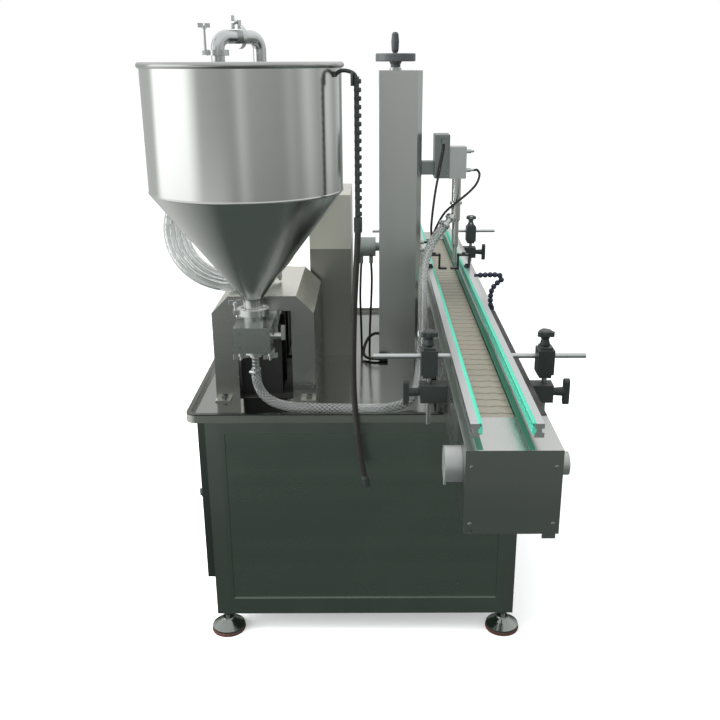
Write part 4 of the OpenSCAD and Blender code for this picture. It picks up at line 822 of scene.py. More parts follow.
@dataclass
class Studio:
    """Camera at the photograph's place, plain soft light and a pale floor, all in metres.

    Attributes:
        eye: Place of the camera.
        pitch: Degrees that it looks down.
        shift: Sideways shift of the frame, as a share of its width.
        roll: Degrees that it leans clockwise.
        lens: Focal length on a 36 mm sensor.
        lamps: Name, place, point faced, width, height and watts of each lamp.
        bands: Degrees from the front and grey of the bands that metal mirrors.
        near: Colour of the floor before the machine, as metal mirrors it.
        tones: Axis, start, full reach and colour of each change away from that.
        rear: Colours of the mirrored floor behind the machine, left and right.
        ground: Corners of the floor.
    """

    eye: Point = (0.022, -2.570, 1.550)
    pitch: float = 18.95
    shift: float = -0.0168
    roll: float = 0.2
    lens: float = 43.35
    lamps: Sequence[tuple[str, Point, Point, float, float, float]] = (
        ("left_softbox", (-2.6, -0.9, 1.5), (0.0, -0.3, 1.2), 2.5, 2.7, 150.0),
        ("top_softbox", (-0.4, -0.6, 3.6), (0.0, 0.0, 1.0), 2.6, 2.6, 90.0))
    bands: Sequence[Pair] = (
        (-180, 0.5), (-150, 0.52), (-114, 0.6), (-104, 1.8), (-58, 1.6), (-42, 0.43), (-15, 0.34),
        (-6, 0.36), (-1, 0.46), (3, 0.7), (8, 0.58), (14, 0.42), (50, 0.35), (60, 0.5), (70, 0.38),
        (84, 0.72), (102, 0.4), (118, 0.8), (134, 0.4), (152, 0.72), (180, 0.5))
    near: Colour = (0.082, 0.10, 0.09)
    tones: Sequence[tuple[str, float, float, Colour]] = (
        ("Y", -1.9, -5.0, (0.27, 0.285, 0.275)), ("X", -0.8, -2.4, (0.9, 0.91, 0.89)),
        ("X", 0.5, 1.8, (0.2, 0.21, 0.19)))
    rear: tuple[Colour, Colour] = ((0.55, 0.56, 0.55), (0.20, 0.21, 0.2))
    ground: Sequence[Point] = ((-30, -20, 0), (30, -20, 0), (30, 60, 0), (-30, 60, 0))

    def build(self) -> None:
        """Sets up the view, the light and the floor."""
        bpy.context.scene.view_settings.view_transform = "Standard"
        self._camera()
        self._world()
        for lamp in self.lamps:
            self._softbox(*lamp)
        self._floor()
        LOG.info("studio ready")

    def _camera(self) -> None:
        """Places the camera."""
        p, r = math.radians(self.pitch), math.radians(self.roll)
        ahead = Vector((0.0, math.cos(p), -math.sin(p)))
        right = ahead.cross(Vector((0, 0, 1))).normalized()
        up = right.cross(ahead)
        side, top = right * math.cos(r) - up * math.sin(r), up * math.cos(r) + right * math.sin(r)
        data = bpy.data.cameras.new("photo_camera")
        data.lens = self.lens
        data.sensor_width = 36.0
        data.shift_x = self.shift
        data.clip_end = 60.0
        data.dof.use_dof = False
        camera = bpy.data.objects.new("photo_camera", data)
        turn = Matrix((side, top, -ahead)).transposed().to_4x4()
        camera.matrix_world = Matrix.Translation(self.eye) @ turn
        bpy.context.scene.collection.objects.link(camera)
        bpy.context.scene.camera = camera

    def _world(self) -> None:
        """Lights the scene evenly and gives metal a room to mirror."""
        world = bpy.data.worlds.new("studio_world")
        bpy.context.scene.world = world
        world.use_nodes = True
        g = Graph(world.node_tree)
        rays = g.add("ShaderNodeLightPath").outputs
        axes = g.add("ShaderNodeSeparateXYZ", {0: g.add("ShaderNodeTexCoord").outputs["Generated"]}).outputs
        low = self._round_about(g, axes["X"], axes["Y"])
        high = g.tint(g.spread(axes["Y"], -0.3, 0.5), (0.80, 0.81, 0.81, 1), (1.0, 1.0, 1.0, 1))
        room = g.tint(g.spread(axes["Z"], 0.05, 0.5), low, high)
        mirror = g.add("ShaderNodeBackground", {"Color": room, "Strength": 1.0}).outputs[0]
        soft = g.add("ShaderNodeBackground", {"Color": (0.97, 0.985, 1.0, 1), "Strength": 0.85}).outputs[0]
        white = g.add("ShaderNodeBackground", {"Color": (1, 1, 1, 1), "Strength": 1.0}).outputs[0]
        lit = g.add("ShaderNodeMixShader", {0: rays["Is Glossy Ray"], 1: soft, 2: mirror}).outputs[0]
        seen = g.add("ShaderNodeMixShader", {0: rays["Is Camera Ray"], 1: lit, 2: white}).outputs[0]
        g.add("ShaderNodeOutputWorld", {"Surface": seen})

    def _round_about(self, g: Graph, x: NodeSocket, y: NodeSocket) -> NodeSocket:
        """Gives the room's upright light and dark bands that metal mirrors.

        Args:
            g: Graph that they go in.
            x: Way to the right.
            y: Way to the back.

        Returns:
            Grey by the angle from the front, left to right.
        """
        angle = g.math("ARCTAN2", x, g.math("MULTIPLY", y, -1.0))
        node = g.add("ShaderNodeValToRGB", {0: g.spread(angle, -math.pi, math.pi)})
        stops = node.color_ramp.elements
        while len(stops) > 1:
            stops.remove(stops[-1])
        for k, (degrees, grey) in enumerate(self.bands):
            stop = stops[0] if k == 0 else stops.new(0.5 + degrees / 360)
            stop.position = 0.5 + degrees / 360
            stop.color = (grey * 0.985, grey, grey * 0.99, 1)
        return node.outputs[0]

    @staticmethod
    def _softbox(name: str, at: Point, to: Point, wide: float, tall: float, power: float) -> None:
        """Hangs one large lamp that metal doesn't mirror, since the room's bands do that.

        Args:
            name: Name of the lamp.
            at: Place of its middle.
            to: Point that it faces.
            wide: Its width.
            tall: Its height.
            power: Watts.
        """
        data = bpy.data.lights.new(name, "AREA")
        data.shape = "RECTANGLE"
        data.size, data.size_y = wide, tall
        data.energy = power
        lamp = bpy.data.objects.new(name, data)
        lamp.location = at
        lamp.rotation_euler = (Vector(to) - Vector(at)).to_track_quat("-Z", "Y").to_euler()
        lamp.visible_camera = lamp.visible_glossy = False
        bpy.context.scene.collection.objects.link(lamp)

    def _floor(self) -> None:
        """Lays the floor, pale to the eye and greyer in reflections."""
        material = bpy.data.materials.new("pale_floor")
        material.use_nodes = True
        g = Graph(material.node_tree)
        rays = g.add("ShaderNodeLightPath").outputs
        where = g.where()
        patch = g.spread(g.noise(where, 1.1, 3.0), 0.35, 0.65)
        pale = g.tint(patch, (0.93, 0.935, 0.935, 1), (0.96, 0.96, 0.96, 1))
        glow = g.math("MULTIPLY", rays["Is Camera Ray"], 0.32)
        matt = g.add("ShaderNodeBsdfPrincipled", {"Base Color": pale, "Roughness": 0.8,
                                                  "Emission Color": (1, 1, 1, 1), "Emission Strength": glow})
        dim = g.add("ShaderNodeEmission", {"Color": self._mirrored_floor(g, where), "Strength": 1.0})
        both = g.add("ShaderNodeMixShader", {0: rays["Is Glossy Ray"], 1: matt.outputs[0], 2: dim.outputs[0]})
        g.add("ShaderNodeOutputMaterial", {"Surface": both.outputs[0]})
        data = bpy.data.meshes.new("studio_floor")
        data.from_pydata(self.ground, [], [(0, 1, 2, 3)])
        data.materials.append(material)
        floor = bpy.data.objects.new("studio_floor", data)
        bpy.context.scene.collection.objects.link(floor)

    def _mirrored_floor(self, g: Graph, where: NodeSocket) -> NodeSocket:
        """Gives the floor's colour in reflections, which turns into the room's bands far out.

        Args:
            g: Graph of the floor's material.
            where: Place on the floor.

        Returns:
            The colour.
        """
        axes = g.add("ShaderNodeSeparateXYZ", {0: where}).outputs
        grey: object = rgba(self.near)
        for axis, start, full, colour in self.tones:
            grey = g.tint(g.spread(axes[axis], start, full), grey, rgba(colour))
        rear = g.tint(g.spread(axes["X"], 0.2, 0.8), *(rgba(colour) for colour in self.rear))
        grey = g.tint(g.spread(axes["Y"], 0.3, 3.0), grey, rear)
        bands = self._round_about(g, axes["X"], axes["Y"])
        return g.tint(g.spread(g.vector("LENGTH", where), 4.0, 13.0), grey, bands)


HOPPER_AXIS = (-280, -440, 0)
HOOK_TURN = -20.0
BEND_LEG = (-269, -165, 0)


@dataclass
class Assembly(ABC):
    """A sub-assembly, which dresses its solids and makes its pieces.

    Attributes:
        shop: Where its materials come from.
    """

    shop: FinishShop

    @abstractmethod
    def build(self) -> None:
        """Makes and dresses its pieces."""

    def piece(self, solid: Solid, name: str, finish: Finish, body: Body | None = Body.MACHINE,
              sharp: float = SHARP_ANGLE) -> Object:
        """Turns a solid into a piece with a finish, on no body where body is None."""
        return solid.finish(name, self.shop.material(finish), finish.slot, body, sharp)

    def clear_piece(self, solid: Solid, name: str, body: Body | None = Body.MACHINE) -> Object:
        """Turns a solid into a piece of clear hose."""
        return solid.finish(name, self.shop.clear_hose(), "clear_hose", body)


def worm_clip(at: Point, towards: Point, radius: float, turn: float) -> Solid:
    """Makes a band clip with its screw housing.

    Args:
        at: Middle of the band.
        towards: Way of the hose.
        radius: Radius of the hose under it.
        turn: Degrees that the housing is turned round the hose.

    Returns:
        The clip.
    """
    here = place(at, towards, turn)
    inner, outer, half = radius + 0.1, radius + 1.1, 4.5
    clip = Solid().lathe([(inner, -half), (outer, -half), (outer, half), (inner, half)], 40, here)
    clip.box((radius + 0.4, -7, -5), (radius + 5.4, 7, 5), 1.2, here)
    return clip.prism(circle(3.4, 6), -9.5, 10.5, 0.5, here @ place((radius + 3, 0, 0), (0, 1, 0)))


@dataclass
class ProductHose(Assembly):
    """Clear hose from the valve's outlet, along the tray and up to the nozzle.

    Attributes:
        route: Points of its middle.
        outer: Outside diameter.
        bore: Inside diameter.
        lay: Radius at which the braid lies in the wall.
        yarn: Thickness of one yarn.
        yarns: Yarns that run each way.
        twist: Degrees that a yarn turns from one point to the next.
        branch: Way of the nozzle's branch.
    """

    route: Sequence[Point] = (
        (-280, -440, 797.5), (-280, -440, 776), (-277, -441, 752), (-264, -445, 728), (-240, -451, 709),
        (-207, -459, 700), (-165, -467, 698), (-110, -473, 698), (-50, -476, 698), (10, -477, 698),
        (62, -472, 698), (104, -452, 702), (131, -418, 714), (146, -375, 740), (154, -328, 780),
        (160, -276, 832), (164, -222, 890), (166, -172, 942), (170, -132, 977), (178, -96, 1006),
        (190, -65, 1033), (206, -40, 1057), (225, -25, 1078), (242.9, -11.8, 1098.0))
    outer: float = 26.0
    bore: float = 18.5
    lay: float = 11.6
    yarn: float = 0.9
    yarns: int = 7
    twist: float = 16.0
    branch: Point = (0.6, 0.45, 0.66)

    def build(self) -> None:
        """Makes the braided hose and its two clips."""
        path = even(smooth(self.route, 8), 4.0)
        hose = Solid().sweep(path, self.outer / 2, 28, self.bore / 2)
        wall = len(hose.mesh.faces)
        places = stations(path)
        for k in range(2 * self.yarns):
            hose.sweep(self._strand(places, k), self.yarn / 2, 5)
        obj = self.clear_piece(hose, "clear_product_hose", None)
        obj.data.materials.append(self.shop.material(BRAID_YARN))
        for face in obj.data.polygons[wall:]:
            face.material_index = 1
        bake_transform(obj)
        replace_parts(obj, "product_hose")
        tail = worm_clip(path[0] - Vector((0, 0, 7)), (0, 0, 1), 13.0, -120)
        self.piece(tail, "hose_clip_on_valve", PIPE_STEEL)
        way = Vector(self.branch).normalized()
        head = worm_clip(path[-1] - way * 6, way, 13.2, 160)
        self.piece(head, "hose_clip_on_nozzle", PIPE_STEEL, Body.HEAD)

    def _strand(self, places: Sequence[tuple[Vector, Vector, Vector]], index: int) -> list[Vector]:
        """Gives the line of one yarn, which winds one way or the other by turns.

        Args:
            places: Points of the hose's middle, each with two directions across it.
            index: Number of the yarn.

        Returns:
            Points of the yarn.
        """
        turn = self.twist if index % 2 else -self.twist
        start = 360 * index / (2 * self.yarns)
        line = []
        for i, (point, across, up) in enumerate(places):
            angle = math.radians(start + turn * i)
            line.append(point + self.lay * (across * math.cos(angle) + up * math.sin(angle)))
        return line


@dataclass
class InfeedHose(Assembly):
    """Coiled clear hose that hangs from the infeed bend.

    Attributes:
        centre: Middle of the first turn.
        radius: Radius of the first turn.
        shrink: How much smaller each turn is.
        step: How far each turn lies behind the one before.
        lean: Degrees that the coil leans back.
        first: Angle where it starts.
        last: Angle where it ends.
        arc: Degrees from point to point of the coil.
        lead: Points from the bend's end to the coil.
        tail: Step from point to point of the straight end.
        outer: Outside diameter.
        bore: Inside diameter.
        ferrule: Radius and height of the corners of the ferrule on that end.
        sleeve: Radius and height of the corners of the hose's other end, on the bend.
        clip: Middle of the clip on the bend.
    """

    centre: Point = (-352, -232, 1134.1)
    radius: float = 178.0
    shrink: float = 8.0
    step: float = 32.0
    lean: float = 33.0
    first: float = 150.0
    last: float = 1350.0
    arc: int = 5
    lead: Sequence[Point] = ((-269, -165, 1442.5), (-269, -165, 1430), (-269, -165, 1417),
                             (-280, -164, 1368), (-320, -163, 1326), (-384, -166, 1294), (-450, -174, 1254))
    tail: Point = (30, 0, 2)
    outer: float = 25.0
    bore: float = 18.0
    ferrule: Sequence[Pair] = ((12.6, -22), (13.6, -22), (14.2, -20), (13.5, -16), (14.2, -12), (13.5, -8),
                               (14.2, -4), (14.2, 0), (12.6, 0))
    sleeve: Sequence[Pair] = ((12.1, 1443.3), (13.4, 1443.3), (13.4, 1465), (12.1, 1465))
    clip: Point = (-269, -165, 1455)

    def coil(self, angle: float) -> Vector:
        """Gives the coil's point at an angle in degrees."""
        turn = (angle - self.first) / 360
        a, lean = math.radians(angle), math.radians(self.lean)
        size = self.radius - self.shrink * turn
        middle = Vector(self.centre) + Vector((0, self.step * turn, -self.shrink * turn * math.cos(lean)))
        across, rise = math.cos(a), math.sin(a)
        return middle + size * Vector((across, rise * math.sin(lean), rise * math.cos(lean)))

    def build(self) -> None:
        """Makes the hose with its ferrule, and its end and clip on the bend."""
        start = smooth([*self.lead, self.coil(self.first)], 6)[:-1]
        steps = int((self.last - self.first) / self.arc)
        path = start + [self.coil(self.first + self.arc * k) for k in range(steps + 1)]
        path += [path[-1] + k * Vector(self.tail) for k in (1, 2, 3)]
        obj = self.clear_piece(Solid().sweep(path, self.outer / 2, 28, self.bore / 2), "clear_infeed_hose")
        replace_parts(obj, "infeed_hose")
        ferrule = Solid().lathe(self.ferrule, 40, place(path[-1], path[-1] - path[-2]))
        end = self.piece(ferrule, "infeed_hose_ferrule", PIPE_STEEL)
        self.clear_piece(Solid().lathe(self.sleeve, 36, place(BEND_LEG)), "hose_end_on_bend")
        self.piece(worm_clip(self.clip, (0, 0, 1), 13.4, 70), "hose_clip_on_bend", PIPE_STEEL)


@dataclass
class SensorStrap(Assembly):
    """Linked level strap that hangs on the hopper's hook, with its cable.

    Attributes:
        reach: How far the strap hangs from the hopper's middle.
        base: Height of the strap's lower end.
        links: Number of links.
        pitch: Height of one link.
        gland: Radius and height of the corners of the gland under the strap.
        gland_at: Where the gland sits.
        over: Reach and height from the strap's top of the points of its curved end.
        route: Points of the cable.
        thick: Diameter of the cable.
        plug: Radius and height of the corners of the cable's plug.
    """

    reach: float = 282.0
    base: float = 1206.0
    links: int = 17
    pitch: float = 18.5
    gland: Sequence[Pair] = ((0, -3), (9.5, -3), (10, 0), (10, 8), (0, 8))
    gland_at: Point = (-10, -538, 1174)
    over: Sequence[Pair] = ((-46, 4), (-32, 12), (-14, 11), (0, 4), (4, -8))
    route: Sequence[Point] = ((-10, -538, 1180), (-13, -538, 1120), (-20, -538, 1000), (-24, -538, 880),
                              (-24, -538, 780), (-19, -538, 690), (-12, -538, 620), (-4, -538, 560),
                              (2, -538, 530))
    thick: float = 15.0
    plug: Sequence[Pair] = ((0, -6), (8, -6), (8.6, 0), (9.5, 1.2), (9.5, 9), (8.8, 10), (8.8, 12), (9.5, 13),
                            (9.5, 24.6), (8, 26), (0, 26))

    def build(self) -> None:
        """Makes the strap, its block, the cable and the plug."""
        here = place(HOPPER_AXIS, turn=HOOK_TURN) @ Matrix.Translation((self.reach, 0, self.base))
        self._strap(here, self.links * self.pitch)
        path = smooth(self.route, 8)
        obj = self.piece(Solid().sweep(path, self.thick / 2, 24), "level_cable", CABLE_BLACK)
        plug = Solid().lathe(self.plug, 32, place(path[-1], (path[-1] - path[-2]).normalized()))
        end = self.piece(plug, "level_cable_plug", BLACK_PLASTIC)
        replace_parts(obj, "sensor_cable")

    def _strap(self, here: Matrix, top: float) -> None:
        """Makes the links, the block under them and the curved end over them.

        Args:
            here: Where the strap hangs.
            top: Height of the strap.
        """
        strap = Solid().box((-0.4, -4.2, 0), (9.8, 4.2, top), 1.0, here)
        for k in range(self.links):
            z = self.pitch * k
            strap.box((-0.8, -5.8, z + 3), (14.8, 5.8, z + 13.6), 2.4, here)
            strap.rod(here @ Vector((4, -5.0, z + 16.2)), here @ Vector((4, 5.0, z + 16.2)), 3.2, 16, 0.6)
        self.piece(strap, "level_strap", BLACK_PLASTIC)
        block = Solid().box((-3, -8, -26), (14, 8, 1), 2.2, here)
        block.lathe(self.gland, 32, place(self.gland_at))
        over = smooth([(x, 0, top + z) for x, z in self.over], 8)
        block.sweep([here @ p for p in over], 4.5, 20)
        self.piece(block, "level_strap_block", BLACK_PLASTIC)


@dataclass
class AirTubes(Assembly):
    """Thin air tubes of the nozzle cylinder and the regulator, with the small lead on the tray.

    Attributes:
        upper: Tube from the column to the head box.
        lower: Tube from the column to the nozzle cylinder.
        drops: Tubes from the regulator to the tray.
        lead: Lead that lies on the tray.
        tube: Outside radius of a tube.
        wire: Outside radius of the lead.
        plug: Radius and height of the corners of the lead's plug.
    """

    upper: Sequence[Point] = ((228, -36, 1330), (228, -36, 1314), (218, -41, 1260), (207, -44, 1200),
                              (200, -43, 1140), (197, -34, 1090), (200, -16, 1062), (197, -3, 1044),
                              (189, 0, 1040), (179, 0, 1040))
    lower: Sequence[Point] = ((321.5, 10, 1251), (326, 10, 1251), (331.5, 10, 1251), (338, 4, 1239),
                              (330, -8, 1216), (310, -18, 1194), (284, -20, 1172), (258, -14, 1150),
                              (238, 4, 1126), (222, 20, 1094), (207, 26, 1056), (200, 25, 1024),
                              (190, 24, 1012), (179, 24, 1012))
    drops: Sequence[Sequence[Point]] = (
        ((-10, 50, 965.6), (-12, 48, 930), (-14, 44, 860), (-12, 40, 780), (-10, 40, 684)),
        ((20, 50, 965.6), (22, 47, 920), (20, 42, 850), (16, 40, 770), (14, 40, 684)))
    lead: Sequence[Point] = ((44.6, 40, 742), (30, 40, 742), (12, 28, 733), (0, 8, 714), (-4, -18, 699),
                             (4, -42, 692), (22, -54, 691), (44, -56, 691))
    tube: float = 3.5
    wire: float = 4.5
    plug: Sequence[Pair] = ((0, -5), (4.8, -5), (5.6, 0), (7, 1.2), (7, 10), (6.3, 11), (6.3, 13), (7, 14),
                            (7, 24.6), (5.6, 26), (0, 26))

    def build(self) -> None:
        """Makes the four tubes and the lead with its plug."""
        a = self._tube("air_tube_upper", self.upper[::-1], self.tube, None)
        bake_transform(a)
        b = self._tube("air_tube_lower", self.lower[::-1], self.tube, None)
        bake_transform(b)
        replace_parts(a, "air_tubes")
        for k, route in enumerate(self.drops):
            drop = self._tube(f"regulator_tube_{k + 1}", route, self.tube, Body.MACHINE)
            if k == 0:
                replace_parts(drop, "regulator_tubes")
        plug = Solid().lathe(self.plug, 32, place(self.lead[-1], (1, 0, 0)))
        end = self.piece(plug, "tray_lead_plug", BLACK_PLASTIC)
        self._tube("tray_lead", self.lead, self.wire, Body.MACHINE, "connector", [end])

    def _tube(self, name: str, route: Sequence[Point], radius: float, body: Body | None,
              far_end: str = "object", pieces: Sequence[Object] = ()) -> Object:
        """Args:
            name: Name of the piece.
            route: Points of its middle, from where it leaves the machine.
            radius: Outside radius.
            body: Body that it rides on, or None to leave it on no body.
            far_end: What is at its other end; not used.
            pieces: Pieces that go with it; not used.

        Returns:
            The object.
        """
        path = smooth(route, 8)
        obj = self.piece(Solid().sweep(path, radius, 16), name, CABLE_BLACK, body)
        return obj


@dataclass
class Cabinet(Assembly):
    """Frame, sheets, door, tray and feet.

    Attributes:
        sill: Lowest and highest corner of the sheet that closes the gap under the door.
        lip: Height above which the top of the tray's rim is painted dark: a painted shade line.
    """

    sill: tuple[Point, Point] = ((-416, -414.5, 114.3), (-414, 414.5, 184))
    lip: float = 692.5

    def build(self) -> None:
        """Dresses the cabinet and adds the sheet under the door."""
        self.piece(Solid().box(*self.sill, 0.3), "door_sill", CABINET_STEEL)
        self.shop.dress(CABINET_STEEL, "cabinet_panels")
        self.shop.dress(DOOR_STEEL, "side_door")
        self.shop.dress(FRAME_STEEL, "base_frame")
        # Above the lip height the rim's top gets a dark line of painted shade.
        self.shop.dress_in_parts("table_top", "tray_and_rim_steel", RIM_STEEL,
                                 (TRAY_STEEL, facing_up(0.6, 0.8)), (LIP_SHADE_STEEL, above(self.lip)))
        self.shop.dress(BRIGHT_STEEL, "door_hinges")
        self.shop.dress(DOME_STEEL, "levelling_feet")
        self.shop.dress(CAST_METAL, "door_latch")
        self.shop.dress(ALUMINIUM, "electrics_plate")
        self.shop.dress(FOOT_RUBBER, "foot_pads")


@dataclass
class PumpSide(Assembly):
    """Tunnel cover, cylinders, valve and outlet.

    Attributes:
        inside: Lowest and highest X, Y and Z of the black sheets that stand for the shade in the tunnel.
    """

    inside: tuple[float, float, float, float, float, float] = (-397, -135, -366, -30, 684.3, 878)

    def build(self) -> None:
        """Dresses the pump and lines the tunnel with black sheets: painted shade."""
        # The cover's tops and shoulders get a paler copy of its steel: painted light.
        self.shop.dress_in_parts("tunnel_cover", "tunnel_cover_painted_light_top", COVER_STEEL,
                                 (LIT_TOP_STEEL, facing_up(0.3, 0.5)))
        # Painted shade: the steel cradle in the tunnel is made black.
        self.shop.dress(CRADLE_SHADE_BLACK, "pump_cradle")
        x0, x1, y0, y1, z0, z1 = self.inside
        # Painted shade: black sheets on the tunnel's walls and floor make its inside dark.
        shade_liner = Solid().box((x0, y0, z0), (x0 + 1, y1, z1), 0.2)
        shade_liner.box((x1 - 1, y0, z0), (x1, y1, z1), 0.2)
        shade_liner.box((x0 + 1, y0, z0), (x1 - 1, y1, z0 + 0.8), 0.2)
        self.piece(shade_liner, "tunnel_shade_liner", SEAL_RUBBER)
        self.shop.dress(BRIGHT_STEEL, "metering_cylinder", "valve_rotor", "piston")
        self.shop.dress(PIPE_STEEL, "outlet_fitting")
        self.shop.dress_in_parts("valve_body", "valve_block_steel", VALVE_STEEL,
                                 (BRIGHT_STEEL, facing_up(0.6, 0.8)))
        self.shop.dress(ALUMINIUM, "drive_cylinder")
        self.shop.dress(SEAL_RUBBER, "piston_seals")


@dataclass
class Hopper(Assembly):
    """Spun hopper with its hook and saddle, the infeed bend and the pipe clamps.

    Attributes:
        profile: Radius and height of the shell's corners, up the outside and down the inside.
        bead: Radius, height and half thickness of the rolled rim.
        turns: Pieces round the shell.
        saddle: Radius and height of the corners of the ring that holds the bend.
    """

    profile: Sequence[Pair] = (
        (23.5, 953), (31, 953), (32, 954), (32, 958.5), (31, 959.4), (26.4, 959.8), (25.5, 961), (25.5, 982),
        (26.5, 987.6), (29, 991.6), (230, 1253.1), (232.2, 1256.3), (233.9, 1258), (234.1, 1260),
        (233.0, 1262), (233, 1545), (231, 1545), (231, 1260), (228, 1254), (23.5, 988))
    bead: tuple[float, float, float] = (232, 1545, 7)
    turns: int = 224
    saddle: Sequence[Pair] = ((17.2, 1514), (24, 1514), (24, 1530), (17.2, 1530))

    def build(self) -> None:
        """Makes the shell, rim, hook and saddle, and dresses the bend and the clamps."""
        here = place(HOPPER_AXIS)
        obj = self.piece(Solid().lathe(self.profile, self.turns, here), "hopper_shell", SPUN_STEEL, sharp=24)
        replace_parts(obj, "hopper")
        radius, height, half = self.bead
        ring = [(radius + x, height + z) for x, z in circle(half, 28)]
        self.piece(Solid().lathe(ring, self.turns, here), "hopper_rim", ROLLED_STEEL)
        self._fittings(radius)
        self.shop.dress(PIPE_STEEL, "infeed_bend", "pipe_clamps")

    def _fittings(self, wall: float) -> None:
        """Makes the strap's hook and the saddle that carries the bend.

        Args:
            wall: Radius where the saddle's arm starts.
        """
        here = place(HOPPER_AXIS, turn=HOOK_TURN)
        hook = Solid().box((275.5, -9, 1500), (280.5, 9, 1530), 0.8, here)
        hook.box((232.8, -6, 1519), (238, 6, 1531), 0.8, here)
        self.piece(hook, "hopper_hook", GRIP_PLASTIC)
        axis, leg = Vector(HOPPER_AXIS), Vector(BEND_LEG)
        out = (leg - axis).normalized()
        inner = axis + out * wall
        saddle = Solid().lathe(self.saddle, 48, place(leg))
        arm = Matrix.Translation(inner) @ Matrix.Rotation(math.atan2(out.y, out.x), 4, "Z")
        saddle.box((0, -8, 1516), ((leg - inner).length - 19, 8, 1528), 1.0, arm)
        self.piece(saddle, "bend_saddle", PIPE_STEEL)


@dataclass
class ControlBox(Assembly):
    """Control box with its screen and stop button, and the air regulator.

    Attributes:
        face: X of the box's left face.
        seam: Height where the upper box meets the lower one, above which the steel is painted lighter.
        stop: Y and Z of the stop button.
        screen: Lowest and highest Y and Z of the screen's pocket.
        gap: Space round the bezel.
        rim: How far the bezel reaches in from the pocket's edge.
        collar: Radius and height of the corners of the stop button's collar.
    """

    face: float = -164.0
    seam: float = 1020.0
    stop: Pair = (215, 1121)
    screen: tuple[float, float, float, float] = (30, 180, 1050, 1155)
    gap: float = 0.6
    rim: float = 9.0
    collar: Sequence[Pair] = ((21.5, 0), (29, 0), (29, 1.6), (28, 2.8), (22.5, 3.4), (21.5, 2.8))

    def build(self) -> None:
        """Dresses the box and the regulator and sets in the screen."""
        # The upper box gets painted light and the lower box painted shade, both on one steel.
        self.shop.dress_in_parts("control_box", "control_box_painted_light_and_shade", SHADED_LOWER_STEEL,
                                 (LIT_UPPER_STEEL, above(self.seam)))
        self.shop.dress(RED_PLASTIC, "e_stop")
        self.shop.dress(REGULATOR_GREY, "air_regulator")
        x, gap, rim = self.face, self.gap, self.rim
        y0, y1, z0, z1 = self.screen
        bezel = Solid()
        for low, high in (((y0 + gap, z0 + gap), (y1 - gap, z0 + rim)),
                          ((y0 + gap, z1 - rim), (y1 - gap, z1 - gap)),
                          ((y0 + gap, z0 + rim), (y0 + rim, z1 - rim)),
                          ((y1 - rim, z0 + rim), (y1 - gap, z1 - rim))):
            bezel.box((x - 2.4, *low), (x + 0.9, *high), 0.5)
        self.piece(bezel, "screen_bezel", BLACK_PLASTIC)
        glass = Solid().box((x - 1.2, y0 + rim, z0 + rim), (x + 0.9, y1 - rim, z1 - rim), 0.2)
        glass.finish("screen_glass", self.shop.screen_glass(), BLACK_PLASTIC.slot, Body.MACHINE)
        collar = Solid().lathe(self.collar, 64, place((x + 0.1, *self.stop), (-1, 0, 0)))
        self.piece(collar, "stop_collar", YELLOW_PLASTIC)


@dataclass
class LiftHead(Assembly):
    """Lift column, lead screw, handwheel, carriage and nozzle."""

    def build(self) -> None:
        """Dresses the lift and the head."""
        self.shop.dress(STEEL_Z, "lift_column")
        self.shop.dress(HEAD_STEEL, "lift_carriage")
        self.shop.dress(STEEL_X, "column_cap")
        self.shop.dress(CHROME, "guide_rods", "nozzle_plunger")
        self.shop.dress(BRIGHT_STEEL, "lead_screw", "nozzle_body")
        self.shop.dress(WHEEL_GREY, "handwheel")
        self.shop.dress(GRIP_PLASTIC, "wheel_grip")
        self.shop.dress(ALUMINIUM, "nozzle_cylinder")


